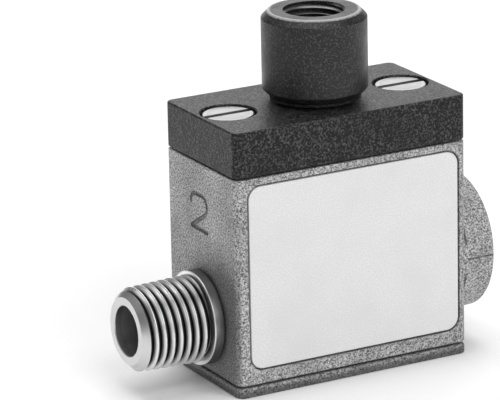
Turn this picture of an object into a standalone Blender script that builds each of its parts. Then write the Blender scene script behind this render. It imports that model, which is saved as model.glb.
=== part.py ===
"""Pilot operated non-return valve, modelled as an assembly of separate pieces.

Lengths are metres and +Z is up. The origin is the centre of the underside. The male
thread points to -X, the female port to +X and the name plate faces -Y.

Air enters the female port above the seat, pushes the poppet down and leaves by the
male thread. Back flow holds the poppet on its seat until pilot air on the piston
drives the push rod down onto it.
"""

import math

import bmesh
import bpy
from mathutils import Matrix

MM = 0.001

# Gaps and fits
SEAT_GAP = 0.3 * MM
RUNNING_GAP = 0.1 * MM
SEAL_GAP = 0.1 * MM
CUT_MARGIN = 1.0 * MM

# Block with its bottom plate and pilot cover
LENGTH = 40.0 * MM
BLOCK_SIDE_WALL = 1.6 * MM
CORNER_RADIUS = 1.2 * MM
EDGE_CHAMFER = 0.35 * MM
COVER_THICKNESS = 7.0 * MM
COVER_EDGE_CHAMFER = 0.3 * MM
BOTTOM_PLATE_THICKNESS = 1.6 * MM

# Female port on the right: G1/4 in a round boss
PORT_BOSS_INSET = 0.25 * MM
PORT_BOSS_LENGTH = 5.2 * MM
PORT_BOSS_CHAMFER = 0.4 * MM
PORT_BOSS_RISE = 4.25 * MM
PORT_BORE_RADIUS = 6.6 * MM
PORT_BORE_DEPTH = 11.2 * MM
PORT_MOUTH_CHAMFER = 0.5 * MM
FEED_PASSAGE_RADIUS = 2.3 * MM

# Male thread on the left: R1/4, taper 1 in 16 on the diameter
NIPPLE_HEIGHT = 10.2 * MM
NIPPLE_REACH = 13.2 * MM
NIPPLE_BORE_RADIUS = 3.85 * MM
NIPPLE_TIP_RADIUS = 6.39 * MM
NIPPLE_TAPER = 1.0 / 32.0
NIPPLE_TIP_CHAMFER = 1.2 * MM
NIPPLE_COLLAR_RADIUS = 7.3 * MM
NIPPLE_COLLAR_LENGTH = 1.6 * MM
NIPPLE_SHANK_RADIUS = 5.2 * MM
NIPPLE_SHANK_LENGTH = 6.5 * MM
NIPPLE_RELIEF_LENGTH = 0.8 * MM
NIPPLE_RELIEF_DEPTH = 0.9 * MM
NIPPLE_THREAD_PITCH = 1.337 * MM
NIPPLE_THREAD_DEPTH = 0.856 * MM
NIPPLE_CREST_WIDTH = 0.2 * MM
NIPPLE_GROOVE_MARGIN = 0.12 * MM

# Check valve: chamber under the seat, seat lip, poppet and its spring
POPPET_FLOW_GAP = 1.25 * MM
CHAMBER_HEADROOM = 0.55 * MM
SEAT_LIP_HEIGHT = 0.5 * MM
SEAT_LIP_WIDTH = 0.7 * MM
SEAT_BORE_RADIUS = 3.9 * MM
SEAT_WEB_THICKNESS = 1.3 * MM
UPPER_CHAMBER_STEP = 1.9 * MM
UPPER_CHAMBER_HEIGHT = 5.2 * MM
POPPET_RIM = 0.5 * MM
POPPET_THICKNESS = 2.5 * MM
POPPET_HUB_HEIGHT = 0.8 * MM
POPPET_TAIL_RADIUS = 1.5 * MM
POPPET_SEAL_WIDTH = 1.8 * MM
POPPET_SEAL_THICKNESS = 1.1 * MM
POPPET_SPRING_WIRE = 0.8 * MM
POPPET_SPRING_TURNS = 4.5
SPRING_CLEARANCE = 0.3 * MM

# Spigot and guide post of the bottom plate
SPIGOT_HEIGHT = 3.3 * MM
GUIDE_POST_WALL = 1.3 * MM
GUIDE_POST_GAP = 0.6 * MM
GUIDE_HOLE_FLOOR = 1.1 * MM
BOTTOM_SEAL_SECTION = 1.1 * MM

# Pilot drive: piston, push rod, guide bush and return spring
PISTON_SKIRT_WALL = 1.125 * MM
PISTON_THICKNESS = 5.25 * MM
PISTON_STROKE = 2.2 * MM
PISTON_HEADROOM = 0.7 * MM
PISTON_STOP_GAP = 0.45 * MM
PISTON_SEAL_SECTION = 1.5 * MM
PISTON_HUB_WALL = 0.4 * MM
PISTON_POCKET_DEPTH = 2.2 * MM
PISTON_EDGE_CHAMFER = 0.3 * MM
PUSH_ROD_RADIUS = 2.0 * MM
PUSH_ROD_END_RADIUS = 1.5 * MM
PUSH_ROD_GAP = 0.3 * MM
PUSH_ROD_TIP_CHAMFER = 0.4 * MM
NUT_ACROSS_FLATS = 5.5 * MM
NUT_HEIGHT = 1.6 * MM
NUT_SINK = 0.5 * MM
BUSH_THICKNESS = 3.4 * MM
BUSH_SEAL_SECTION = 1.1 * MM
ROD_SEAL_SECTION = 1.1 * MM
SNAP_RING_WIRE = 0.8 * MM
SNAP_RING_GAP_ANGLE = math.radians(50.0)
RETURN_SPRING_WIRE = 0.7 * MM
RETURN_SPRING_TURNS = 4.0
CLOSE_COIL_RISE = 1.12
VENT_RADIUS = 0.6 * MM

# Pilot port adapter: G1/8 female, screwed into the cover
ADAPTER_RADIUS = 8.05 * MM
ADAPTER_HEIGHT = 13.8 * MM
ADAPTER_BEVEL = 1.1 * MM
ADAPTER_NECK_HEIGHT = 0.4 * MM
ADAPTER_BORE_RADIUS = 4.4 * MM
ADAPTER_BORE_DEPTH = 8.5 * MM
ADAPTER_MOUTH_CHAMFER = 0.25 * MM
ADAPTER_STEM_RADIUS = 4.85 * MM
ADAPTER_SEAL_SECTION = 1.1 * MM
PILOT_PASSAGE_RADIUS = 2.1 * MM
PILOT_RECESS_RADIUS = 6.0 * MM
PILOT_RECESS_DEPTH = 0.8 * MM
PILOT_FLOOR_THICKNESS = 1.6 * MM

# Seal between the cover and the block
COVER_SEAL_SECTION = 1.2 * MM

# Cover screws: slotted cheese heads sunk in the cover
COVER_SCREW_INSET = 5.0 * MM
COVER_SCREW_RADIUS = 2.0 * MM
COVER_SCREW_LENGTH = 14.0 * MM
COVER_SCREW_HEAD_RADIUS = 4.0 * MM
COVER_SCREW_HEAD_HEIGHT = 2.6 * MM
COVER_SCREW_HEAD_CHAMFER = 0.3 * MM
COVER_SCREW_TIP_CHAMFER = 0.5 * MM
COVER_SCREW_SINK = 0.2 * MM
COVER_SCREW_SLOT_WIDTH = 1.2 * MM
COVER_SCREW_SLOT_DEPTH = 1.2 * MM

# Bottom screws: slotted countersunk heads
BOTTOM_SCREW_INSET = 3.4 * MM
BOTTOM_SCREW_RADIUS = 1.25 * MM
BOTTOM_SCREW_LENGTH = 6.0 * MM
BOTTOM_SCREW_HEAD_RADIUS = 2.3 * MM
BOTTOM_SCREW_HEAD_HEIGHT = 1.1 * MM
BOTTOM_SCREW_SINK = 0.15 * MM
BOTTOM_SCREW_SLOT_WIDTH = 0.6 * MM
BOTTOM_SCREW_SLOT_DEPTH = 0.6 * MM
BOTTOM_SCREW_TURN = math.radians(35.0)

# Name plate let into the front
NAME_PLATE_LEFT_MARGIN = 2.2 * MM
NAME_PLATE_RIGHT_MARGIN = 1.6 * MM
NAME_PLATE_TOP_MARGIN = 1.35 * MM
NAME_PLATE_BOTTOM_MARGIN = 2.45 * MM
NAME_PLATE_THICKNESS = 0.5 * MM
NAME_PLATE_RADIUS = 2.0 * MM

# Facets of round pieces
FINE = 36
MEDIUM = 26
SMALL = 20
TINY = 16
RING_SEGMENTS = 24
RING_SECTION_SEGMENTS = 8
COIL_STEPS = 12
CORNER_SEGMENTS = 4
SHARP_ANGLE = math.radians(35.0)

# Radii worked out from the sizes above
LIP_RADIUS = SEAT_BORE_RADIUS + SEAT_LIP_WIDTH
POPPET_SEAL_INNER = (SEAT_BORE_RADIUS + LIP_RADIUS - POPPET_SEAL_WIDTH) / 2
POPPET_SEAL_OUTER = POPPET_SEAL_INNER + POPPET_SEAL_WIDTH
POPPET_RADIUS = POPPET_SEAL_OUTER + SEAL_GAP + POPPET_RIM
LOWER_CHAMBER_RADIUS = POPPET_RADIUS + POPPET_FLOW_GAP
UPPER_CHAMBER_RADIUS = SEAT_BORE_RADIUS + UPPER_CHAMBER_STEP
GUIDE_HOLE_RADIUS = POPPET_TAIL_RADIUS + RUNNING_GAP
GUIDE_POST_RADIUS = GUIDE_HOLE_RADIUS + GUIDE_POST_WALL
POPPET_SPRING_RADIUS = GUIDE_POST_RADIUS + SPRING_CLEARANCE + POPPET_SPRING_WIRE / 2
NUT_CORNER_RADIUS = NUT_ACROSS_FLATS / 2 / math.cos(math.pi / 6)
NUT_RECESS_RADIUS = NUT_CORNER_RADIUS + SEAT_GAP
PISTON_HUB_RADIUS = NUT_RECESS_RADIUS + PISTON_HUB_WALL
RETURN_SPRING_RADIUS = PISTON_HUB_RADIUS + SPRING_CLEARANCE + RETURN_SPRING_WIRE / 2
PISTON_POCKET_RADIUS = RETURN_SPRING_RADIUS + RETURN_SPRING_WIRE / 2 + SPRING_CLEARANCE
PISTON_BORE_RADIUS = PISTON_POCKET_RADIUS + PISTON_SKIRT_WALL + PISTON_SEAL_SECTION + 2 * SEAL_GAP
COVER_SEAL_RECESS_RADIUS = PISTON_BORE_RADIUS + COVER_SEAL_SECTION + 2 * SEAL_GAP
COVER_SEAL_RECESS_DEPTH = COVER_SEAL_SECTION - SEAT_GAP + 2 * SEAL_GAP
DEPTH = 2 * (COVER_SEAL_RECESS_RADIUS + BLOCK_SIDE_WALL)
PORT_BOSS_RADIUS = DEPTH / 2 - PORT_BOSS_INSET

# Levels worked out from the sizes above, from the bottom up
BLOCK_BOTTOM = BOTTOM_PLATE_THICKNESS + SEAT_GAP
SPIGOT_TOP = BOTTOM_PLATE_THICKNESS + SPIGOT_HEIGHT
PORT_HEIGHT = PORT_BOSS_RISE + PORT_BOSS_RADIUS
CHAMBER_TOP = NIPPLE_HEIGHT + NIPPLE_BORE_RADIUS + CHAMBER_HEADROOM
SEAT_LEVEL = CHAMBER_TOP - SEAT_LIP_HEIGHT
POPPET_TOP = SEAT_LEVEL - SEAT_GAP
POPPET_BOTTOM = POPPET_TOP - POPPET_THICKNESS
POPPET_HUB_BOTTOM = POPPET_BOTTOM - POPPET_HUB_HEIGHT
GUIDE_POST_TOP = POPPET_HUB_BOTTOM - PISTON_STROKE - GUIDE_POST_GAP
POPPET_TAIL_END = GUIDE_HOLE_FLOOR + PISTON_STROKE + SEAT_GAP
UPPER_CHAMBER_FLOOR = CHAMBER_TOP + SEAT_WEB_THICKNESS
BUSH_SHOULDER = UPPER_CHAMBER_FLOOR + UPPER_CHAMBER_HEIGHT
BUSH_BOTTOM = BUSH_SHOULDER + SEAT_GAP
BUSH_TOP = BUSH_BOTTOM + BUSH_THICKNESS
SNAP_RING_LEVEL = BUSH_TOP + SEAT_GAP + SNAP_RING_WIRE / 2
SNAP_RING_TOP = SNAP_RING_LEVEL + SNAP_RING_WIRE / 2
PISTON_BOTTOM = SNAP_RING_TOP + PISTON_STOP_GAP + PISTON_STROKE
PISTON_TOP = PISTON_BOTTOM + PISTON_THICKNESS
COVER_BOTTOM = PISTON_TOP + PISTON_HEADROOM
BLOCK_TOP = COVER_BOTTOM - SEAT_GAP
HEIGHT = COVER_BOTTOM + COVER_THICKNESS
COVER_SCREW_SEAT = HEIGHT - COVER_SCREW_SINK - COVER_SCREW_HEAD_HEIGHT
ADAPTER_BOTTOM = HEIGHT + SEAT_GAP
ADAPTER_THREAD_FLOOR = COVER_BOTTOM + PILOT_RECESS_DEPTH + PILOT_FLOOR_THICKNESS
ADAPTER_TOP = HEIGHT + ADAPTER_HEIGHT

# Places along X, and across the block
BOSS_END = LENGTH / 2 + PORT_BOSS_LENGTH
NIPPLE_END = LENGTH / 2 + NIPPLE_REACH
COVER_SCREW_SPREAD = LENGTH / 2 - COVER_SCREW_INSET
BOTTOM_SCREW_SPREAD_X = LENGTH / 2 - BOTTOM_SCREW_INSET
BOTTOM_SCREW_SPREAD_Y = DEPTH / 2 - BOTTOM_SCREW_INSET

Z_UP = Matrix.Identity(4)
X_OUT = Matrix.Rotation(math.pi / 2, 4, "Y")
X_OUT_LEFT = Matrix.Rotation(-math.pi / 2, 4, "Y")
Y_BACK = Matrix.Rotation(-math.pi / 2, 4, "X")


def clear_scene():
    """Remove every object of the open scene."""
    for old in list(bpy.data.objects):
        bpy.data.objects.remove(old, do_unlink=True)


def new_collection(name):
    """Return a new collection linked to the scene."""
    collection = bpy.data.collections.new(name)
    bpy.context.scene.collection.children.link(collection)
    return collection


def new_material(name, colour, roughness, metallic):
    """Return a Principled material of one colour."""
    material = bpy.data.materials.new(name)
    material.use_nodes = True
    shader = material.node_tree.nodes["Principled BSDF"]
    shader.inputs["Base Color"].default_value = (*colour, 1.0)
    shader.inputs["Roughness"].default_value = roughness
    shader.inputs["Metallic"].default_value = metallic
    material.diffuse_color = (*colour, 1.0)
    return material


def mesh_object(name, bm, place):
    """Turn a bmesh into an object at the given place and return it."""
    mesh = bpy.data.meshes.new(name)
    bm.to_mesh(mesh)
    bm.free()
    part = bpy.data.objects.new(name, mesh)
    part.matrix_world = place
    return part


def at(x, y, z):
    """Return the matrix that moves a piece to a point."""
    return Matrix.Translation((x, y, z))


def turned(name, profile, segments, place=Z_UP, ring=False):
    """Turn a profile of (radius, height) points about its local Z axis.

    The points run down the outer side from top to bottom. A ring's profile is a
    closed loop, and any other starts and ends on the axis.
    """
    bm = bmesh.new()
    points = [bm.verts.new((radius, 0.0, height)) for radius, height in profile]
    for first, second in zip(points, points[1:]):
        bm.edges.new((first, second))
    if ring:
        bm.edges.new((points[-1], points[0]))
    part = mesh_object(name, bm, place)
    screw = part.modifiers.new("turn", "SCREW")
    screw.axis = "Z"
    screw.steps = segments
    screw.render_steps = segments
    screw.use_merge_vertices = True
    screw.merge_threshold = 0.00001
    return part


def rod(name, radius, bottom, top, segments, place=Z_UP):
    """Return a plain cylinder about local Z between two heights."""
    profile = [(0.0, top), (radius, top), (radius, bottom), (0.0, bottom)]
    return turned(name, profile, segments, place)


def ring_seal(name, middle_radius, section, height):
    """Return a round-section sealing ring about the Z axis."""
    bpy.ops.mesh.primitive_torus_add(
        major_segments=RING_SEGMENTS,
        minor_segments=RING_SECTION_SEGMENTS,
        major_radius=middle_radius,
        minor_radius=section / 2,
    )
    part = bpy.context.object
    part.name = name
    part.matrix_world = at(0.0, 0.0, height)
    for holder in list(part.users_collection):
        holder.objects.unlink(part)
    return part


def rounded_block(name, size, corner_radius, edge_chamfer, place):
    """Return a block whose upright edges are rounded and whose rims are chamfered."""
    bm = bmesh.new()
    bmesh.ops.create_cube(bm, size=1.0)
    bmesh.ops.scale(bm, vec=size, verts=bm.verts)
    upright = [edge for edge in bm.edges if is_upright(edge)]
    bmesh.ops.bevel(
        bm, geom=upright, offset=corner_radius, segments=CORNER_SEGMENTS, profile=0.5, affect="EDGES"
    )
    if edge_chamfer > 0.0:
        rims = [edge for edge in bm.edges if not is_upright(edge)]
        bmesh.ops.bevel(bm, geom=rims, offset=edge_chamfer, segments=1, affect="EDGES")
    return mesh_object(name, bm, place)


def is_upright(edge):
    """Say whether an edge of a bmesh runs along Z."""
    span = edge.verts[0].co - edge.verts[1].co
    return abs(span.z) > 0.5 * span.length


def box(name, size, place):
    """Return a plain box of the given size, centred on its place."""
    bm = bmesh.new()
    bmesh.ops.create_cube(bm, size=1.0)
    bmesh.ops.scale(bm, vec=size, verts=bm.verts)
    return mesh_object(name, bm, place)


def wire(name, points, wire_diameter):
    """Return a round wire along a list of points, with closed ends."""
    curve = bpy.data.curves.new(name, "CURVE")
    curve.dimensions = "3D"
    curve.bevel_depth = wire_diameter / 2
    curve.bevel_resolution = 2
    curve.use_fill_caps = True
    spline = curve.splines.new("POLY")
    spline.points.add(len(points) - 1)
    for target, (x, y, z) in zip(spline.points, points):
        target.co = (x, y, z, 1.0)
    return bpy.data.objects.new(name, curve)


def coil_spring(name, mean_radius, wire_diameter, bottom, top, turns):
    """Return a helical compression spring between two levels.

    The first and the last turn lie close, and the rest share the height left.
    """
    steps = round(turns * COIL_STEPS)
    low = bottom + wire_diameter / 2
    high = top - wire_diameter / 2
    close_rise = CLOSE_COIL_RISE * wire_diameter
    free_rise = high - low - 2 * close_rise
    points = []
    for step in range(steps + 1):
        turn = turns * step / steps
        rise = close_rise * min(turn, 1.0)
        rise += free_rise * min(max(turn - 1.0, 0.0) / (turns - 2.0), 1.0)
        rise += close_rise * max(turn - (turns - 1.0), 0.0)
        angle = 2 * math.pi * turn
        points.append((mean_radius * math.cos(angle), mean_radius * math.sin(angle), low + rise))
    return wire(name, points, wire_diameter)


class Assembly:
    """Collects the pieces, their materials and the tools that cut or join them."""

    def __init__(self):
        self.parts = new_collection("pilot_operated_non_return_valve")
        self.tools = new_collection("cutters")

    def add(self, part, material):
        """Take a finished piece into the model with its material."""
        self.parts.objects.link(part)
        part.data.materials.clear()
        part.data.materials.append(material)
        if part.type == "MESH" and not part.modifiers:
            part.data.shade_smooth()
            part.data.set_sharp_from_angle(angle=SHARP_ANGLE)

    def combine(self, part, tool, operation):
        """Cut a tool from a part, or join it on."""
        self.tools.objects.link(tool)
        tool.hide_render = True
        tool.display_type = "WIRE"
        step = part.modifiers.new(tool.name, "BOOLEAN")
        step.operation = operation
        step.solver = "EXACT"
        step.object = tool

    def cut(self, part, *tools):
        """Cut each tool from a part."""
        for tool in tools:
            self.combine(part, tool, "DIFFERENCE")

    def join(self, part, *tools):
        """Join each tool to a part as one body."""
        for tool in tools:
            self.combine(part, tool, "UNION")


def main_bore():
    """Return the stepped upright bore: chamber, seat, upper chamber and piston bore."""
    ring_low = SNAP_RING_LEVEL - SNAP_RING_WIRE / 2 - RUNNING_GAP
    ring_high = SNAP_RING_TOP + RUNNING_GAP
    groove_radius = PISTON_BORE_RADIUS + SNAP_RING_WIRE / 2 + RUNNING_GAP
    profile = [
        (0.0, BLOCK_TOP + CUT_MARGIN),
        (COVER_SEAL_RECESS_RADIUS, BLOCK_TOP + CUT_MARGIN),
        (COVER_SEAL_RECESS_RADIUS, BLOCK_TOP - COVER_SEAL_RECESS_DEPTH),
        (PISTON_BORE_RADIUS, BLOCK_TOP - COVER_SEAL_RECESS_DEPTH),
        (PISTON_BORE_RADIUS, ring_high),
        (groove_radius, ring_high),
        (groove_radius, ring_low),
        (PISTON_BORE_RADIUS, ring_low),
        (PISTON_BORE_RADIUS, BUSH_SHOULDER),
        (UPPER_CHAMBER_RADIUS, BUSH_SHOULDER),
        (UPPER_CHAMBER_RADIUS, UPPER_CHAMBER_FLOOR),
        (SEAT_BORE_RADIUS, UPPER_CHAMBER_FLOOR),
        (SEAT_BORE_RADIUS, SEAT_LEVEL),
        (LIP_RADIUS, SEAT_LEVEL),
        (LIP_RADIUS, CHAMBER_TOP),
        (LOWER_CHAMBER_RADIUS, CHAMBER_TOP),
        (LOWER_CHAMBER_RADIUS, BLOCK_BOTTOM - CUT_MARGIN),
        (0.0, BLOCK_BOTTOM - CUT_MARGIN),
    ]
    return turned("main_bore", profile, FINE)


def female_port():
    """Return the tapped hole of the right-hand port, about local Z."""
    top = BOSS_END
    chamfer_radius = PORT_BORE_RADIUS + PORT_MOUTH_CHAMFER
    profile = [
        (0.0, top + CUT_MARGIN),
        (chamfer_radius, top + CUT_MARGIN),
        (chamfer_radius, top),
        (PORT_BORE_RADIUS, top - PORT_MOUTH_CHAMFER),
        (PORT_BORE_RADIUS, top - PORT_BORE_DEPTH),
        (0.0, top - PORT_BORE_DEPTH),
    ]
    return turned("female_port_hole", profile, FINE, at(0.0, 0.0, PORT_HEIGHT) @ X_OUT)


def nipple_hole():
    """Return the hole for the nipple's shank and the passage behind it."""
    face = LENGTH / 2
    shank_radius = NIPPLE_SHANK_RADIUS + RUNNING_GAP
    floor = face - NIPPLE_SHANK_LENGTH - SEAT_GAP
    profile = [
        (0.0, face + CUT_MARGIN),
        (shank_radius, face + CUT_MARGIN),
        (shank_radius, floor),
        (NIPPLE_BORE_RADIUS, floor),
        (NIPPLE_BORE_RADIUS, 0.0),
        (0.0, 0.0),
    ]
    return turned("nipple_hole", profile, MEDIUM, at(0.0, 0.0, NIPPLE_HEIGHT) @ X_OUT_LEFT)


def name_plate_slab(name, margin, front, depth):
    """Return a slab of the name plate's outline, from a front level to a depth in the block."""
    left = -LENGTH / 2 + NAME_PLATE_LEFT_MARGIN - margin
    right = LENGTH / 2 - NAME_PLATE_RIGHT_MARGIN + margin
    low = BLOCK_BOTTOM + NAME_PLATE_BOTTOM_MARGIN - margin
    high = BLOCK_TOP - NAME_PLATE_TOP_MARGIN + margin
    size = (right - left, high - low, depth - front)
    middle = -DEPTH / 2 + (front + depth) / 2
    place = at((left + right) / 2, middle, (low + high) / 2) @ Y_BACK
    return rounded_block(name, size, NAME_PLATE_RADIUS + margin, 0.0, place)


def bottom_screw_places():
    """Return the four places of the bottom screws, seen from above."""
    signs = [(-1, -1), (1, -1), (1, 1), (-1, 1)]
    return [(sx * BOTTOM_SCREW_SPREAD_X, sy * BOTTOM_SCREW_SPREAD_Y) for sx, sy in signs]


def make_valve_block(model, material):
    """Build the block with its boss, bores, screw holes, vent and plate pocket."""
    height = BLOCK_TOP - BLOCK_BOTTOM
    middle = (BLOCK_TOP + BLOCK_BOTTOM) / 2
    block = rounded_block(
        "valve_block", (LENGTH, DEPTH, height), CORNER_RADIUS, EDGE_CHAMFER, at(0.0, 0.0, middle)
    )
    boss_profile = [
        (0.0, BOSS_END),
        (PORT_BOSS_RADIUS - PORT_BOSS_CHAMFER, BOSS_END),
        (PORT_BOSS_RADIUS, BOSS_END - PORT_BOSS_CHAMFER),
        (PORT_BOSS_RADIUS, LENGTH / 2 - CUT_MARGIN),
        (0.0, LENGTH / 2 - CUT_MARGIN),
    ]
    boss = turned("port_boss", boss_profile, FINE, at(0.0, 0.0, PORT_HEIGHT) @ X_OUT)
    model.join(block, boss)
    model.cut(block, main_bore(), female_port(), nipple_hole())

    feed_level = (UPPER_CHAMBER_FLOOR + BUSH_SHOULDER) / 2
    feed_end = BOSS_END - PORT_BORE_DEPTH + CUT_MARGIN
    feed = rod("feed_passage", FEED_PASSAGE_RADIUS, 0.0, feed_end, SMALL, at(0.0, 0.0, feed_level) @ X_OUT)
    vent_place = at(0.0, 0.0, SNAP_RING_TOP + VENT_RADIUS) @ Y_BACK
    vent = rod("vent_hole", VENT_RADIUS, 0.0, DEPTH / 2 + CUT_MARGIN, TINY, vent_place)
    model.cut(block, feed, vent)

    hole_radius = COVER_SCREW_RADIUS + RUNNING_GAP
    hole_floor = COVER_SCREW_SEAT - COVER_SCREW_LENGTH - 2 * SEAT_GAP
    for side in (-1, 1):
        place = at(side * COVER_SCREW_SPREAD, 0.0, 0.0)
        model.cut(
            block, rod(f"cover_screw_hole_{side}", hole_radius, hole_floor, HEIGHT, SMALL, place)
        )
    bottom_radius = BOTTOM_SCREW_RADIUS + RUNNING_GAP
    bottom_end = BOTTOM_SCREW_SINK + BOTTOM_SCREW_LENGTH + 2 * SEAT_GAP
    for number, (x, y) in enumerate(bottom_screw_places(), start=1):
        hole = rod(f"bottom_screw_hole_{number}", bottom_radius, 0.0, bottom_end, TINY, at(x, y, 0.0))
        model.cut(block, hole)
    pocket_depth = NAME_PLATE_THICKNESS + SEAT_GAP
    model.cut(block, name_plate_slab("name_plate_pocket", SEAT_GAP, -CUT_MARGIN, pocket_depth))
    model.add(block, material)


def make_name_plate(model, material):
    """Build the bare plate that lies flush in the front face."""
    model.add(name_plate_slab("name_plate", 0.0, 0.0, NAME_PLATE_THICKNESS), material)


def make_bottom_plate(model, material):
    """Build the plate that closes the block, with its spigot and guide post."""
    size = (LENGTH, DEPTH, BOTTOM_PLATE_THICKNESS)
    plate = rounded_block(
        "bottom_plate", size, CORNER_RADIUS, EDGE_CHAMFER, at(0.0, 0.0, BOTTOM_PLATE_THICKNESS / 2)
    )
    spigot_radius = LOWER_CHAMBER_RADIUS - RUNNING_GAP
    groove_radius = LOWER_CHAMBER_RADIUS - BOTTOM_SEAL_SECTION - 2 * SEAL_GAP
    groove_low, groove_high = bottom_seal_groove()
    root = BOTTOM_PLATE_THICKNESS / 2
    profile = [
        (0.0, GUIDE_POST_TOP),
        (GUIDE_POST_RADIUS, GUIDE_POST_TOP),
        (GUIDE_POST_RADIUS, SPIGOT_TOP),
        (spigot_radius, SPIGOT_TOP),
        (spigot_radius, groove_high),
        (groove_radius, groove_high),
        (groove_radius, groove_low),
        (spigot_radius, groove_low),
        (spigot_radius, root),
        (0.0, root),
    ]
    model.join(plate, turned("plate_spigot", profile, MEDIUM))
    guide_end = GUIDE_POST_TOP + CUT_MARGIN
    model.cut(plate, rod("guide_hole", GUIDE_HOLE_RADIUS, GUIDE_HOLE_FLOOR, guide_end, SMALL))
    for number, (x, y) in enumerate(bottom_screw_places(), start=1):
        model.cut(plate, countersink(f"countersink_{number}", at(x, y, 0.0)))
    model.add(plate, material)


def bottom_seal_groove():
    """Return the lower and upper level of the groove in the plate's spigot."""
    middle = (BLOCK_BOTTOM + SPIGOT_TOP) / 2
    half = BOTTOM_SEAL_SECTION / 2 + SEAL_GAP
    return middle - half, middle + half


def countersink(name, place):
    """Return the hole of one bottom screw, with the cone for its head."""
    gap = RUNNING_GAP
    cone_top = BOTTOM_SCREW_SINK + BOTTOM_SCREW_HEAD_HEIGHT + gap
    profile = [
        (0.0, BOTTOM_PLATE_THICKNESS + CUT_MARGIN),
        (BOTTOM_SCREW_RADIUS + gap, BOTTOM_PLATE_THICKNESS + CUT_MARGIN),
        (BOTTOM_SCREW_RADIUS + gap, cone_top),
        (BOTTOM_SCREW_HEAD_RADIUS + 2 * gap, BOTTOM_SCREW_SINK),
        (BOTTOM_SCREW_HEAD_RADIUS + 2 * gap, -CUT_MARGIN),
        (0.0, -CUT_MARGIN),
    ]
    return turned(name, profile, SMALL, place)


def make_bottom_screws(model, material):
    """Build the four countersunk screws, heads down."""
    low = BOTTOM_SCREW_SINK
    profile = [
        (0.0, low + BOTTOM_SCREW_LENGTH),
        (BOTTOM_SCREW_RADIUS, low + BOTTOM_SCREW_LENGTH),
        (BOTTOM_SCREW_RADIUS, low + BOTTOM_SCREW_HEAD_HEIGHT),
        (BOTTOM_SCREW_HEAD_RADIUS, low),
        (0.0, low),
    ]
    slot_size = (4 * BOTTOM_SCREW_HEAD_RADIUS, BOTTOM_SCREW_SLOT_WIDTH, 2 * BOTTOM_SCREW_SLOT_DEPTH)
    for number, (x, y) in enumerate(bottom_screw_places(), start=1):
        screw = turned(f"bottom_screw_{number}", profile, TINY, at(x, y, 0.0))
        turn = Matrix.Rotation(BOTTOM_SCREW_TURN * number, 4, "Z")
        model.cut(screw, box(f"bottom_slot_{number}", slot_size, at(x, y, low) @ turn))
        model.add(screw, material)


def make_cover_screws(model, material):
    """Build the two slotted screws that hold the cover."""
    top = COVER_SCREW_SEAT + COVER_SCREW_HEAD_HEIGHT
    chamfer = COVER_SCREW_HEAD_CHAMFER
    tip = COVER_SCREW_SEAT - COVER_SCREW_LENGTH
    tip_chamfer = COVER_SCREW_TIP_CHAMFER
    profile = [
        (0.0, top),
        (COVER_SCREW_HEAD_RADIUS - chamfer, top),
        (COVER_SCREW_HEAD_RADIUS, top - chamfer),
        (COVER_SCREW_HEAD_RADIUS, COVER_SCREW_SEAT),
        (COVER_SCREW_RADIUS, COVER_SCREW_SEAT),
        (COVER_SCREW_RADIUS, tip + tip_chamfer),
        (COVER_SCREW_RADIUS - tip_chamfer, tip),
        (0.0, tip),
    ]
    slot_size = (4 * COVER_SCREW_HEAD_RADIUS, COVER_SCREW_SLOT_WIDTH, 2 * COVER_SCREW_SLOT_DEPTH)
    for side, word in ((-1, "left"), (1, "right")):
        place = at(side * COVER_SCREW_SPREAD, 0.0, 0.0)
        screw = turned(f"cover_screw_{word}", profile, MEDIUM, place)
        model.cut(screw, box(f"cover_slot_{word}", slot_size, place @ at(0.0, 0.0, top)))
        model.add(screw, material)


def make_pilot_cover(model, material):
    """Build the cover with its counterbores, adapter thread and pilot passage."""
    size = (LENGTH, DEPTH, COVER_THICKNESS)
    middle = HEIGHT - COVER_THICKNESS / 2
    cover = rounded_block("pilot_cover", size, CORNER_RADIUS, COVER_EDGE_CHAMFER, at(0.0, 0.0, middle))
    seal_radius = ADAPTER_STEM_RADIUS + ADAPTER_SEAL_SECTION + 2 * SEAL_GAP
    seal_floor = HEIGHT + SEAT_GAP - ADAPTER_SEAL_SECTION - 2 * SEAL_GAP
    thread_radius = ADAPTER_STEM_RADIUS + RUNNING_GAP
    profile = [
        (0.0, HEIGHT + CUT_MARGIN),
        (seal_radius, HEIGHT + CUT_MARGIN),
        (seal_radius, seal_floor),
        (thread_radius, seal_floor),
        (thread_radius, ADAPTER_THREAD_FLOOR),
        (PILOT_PASSAGE_RADIUS, ADAPTER_THREAD_FLOOR),
        (PILOT_PASSAGE_RADIUS, COVER_BOTTOM + PILOT_RECESS_DEPTH),
        (PILOT_RECESS_RADIUS, COVER_BOTTOM + PILOT_RECESS_DEPTH),
        (PILOT_RECESS_RADIUS, COVER_BOTTOM - CUT_MARGIN),
        (0.0, COVER_BOTTOM - CUT_MARGIN),
    ]
    model.cut(cover, turned("pilot_hole", profile, MEDIUM))
    head_radius = COVER_SCREW_HEAD_RADIUS + SEAT_GAP
    shank_radius = COVER_SCREW_RADIUS + SEAT_GAP
    seat = COVER_SCREW_SEAT - SEAT_GAP
    screw_profile = [
        (0.0, HEIGHT + CUT_MARGIN),
        (head_radius, HEIGHT + CUT_MARGIN),
        (head_radius, seat),
        (shank_radius, seat),
        (shank_radius, COVER_BOTTOM - CUT_MARGIN),
        (0.0, COVER_BOTTOM - CUT_MARGIN),
    ]
    for side in (-1, 1):
        place = at(side * COVER_SCREW_SPREAD, 0.0, 0.0)
        model.cut(cover, turned(f"cover_counterbore_{side}", screw_profile, MEDIUM, place))
    model.add(cover, material)


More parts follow.
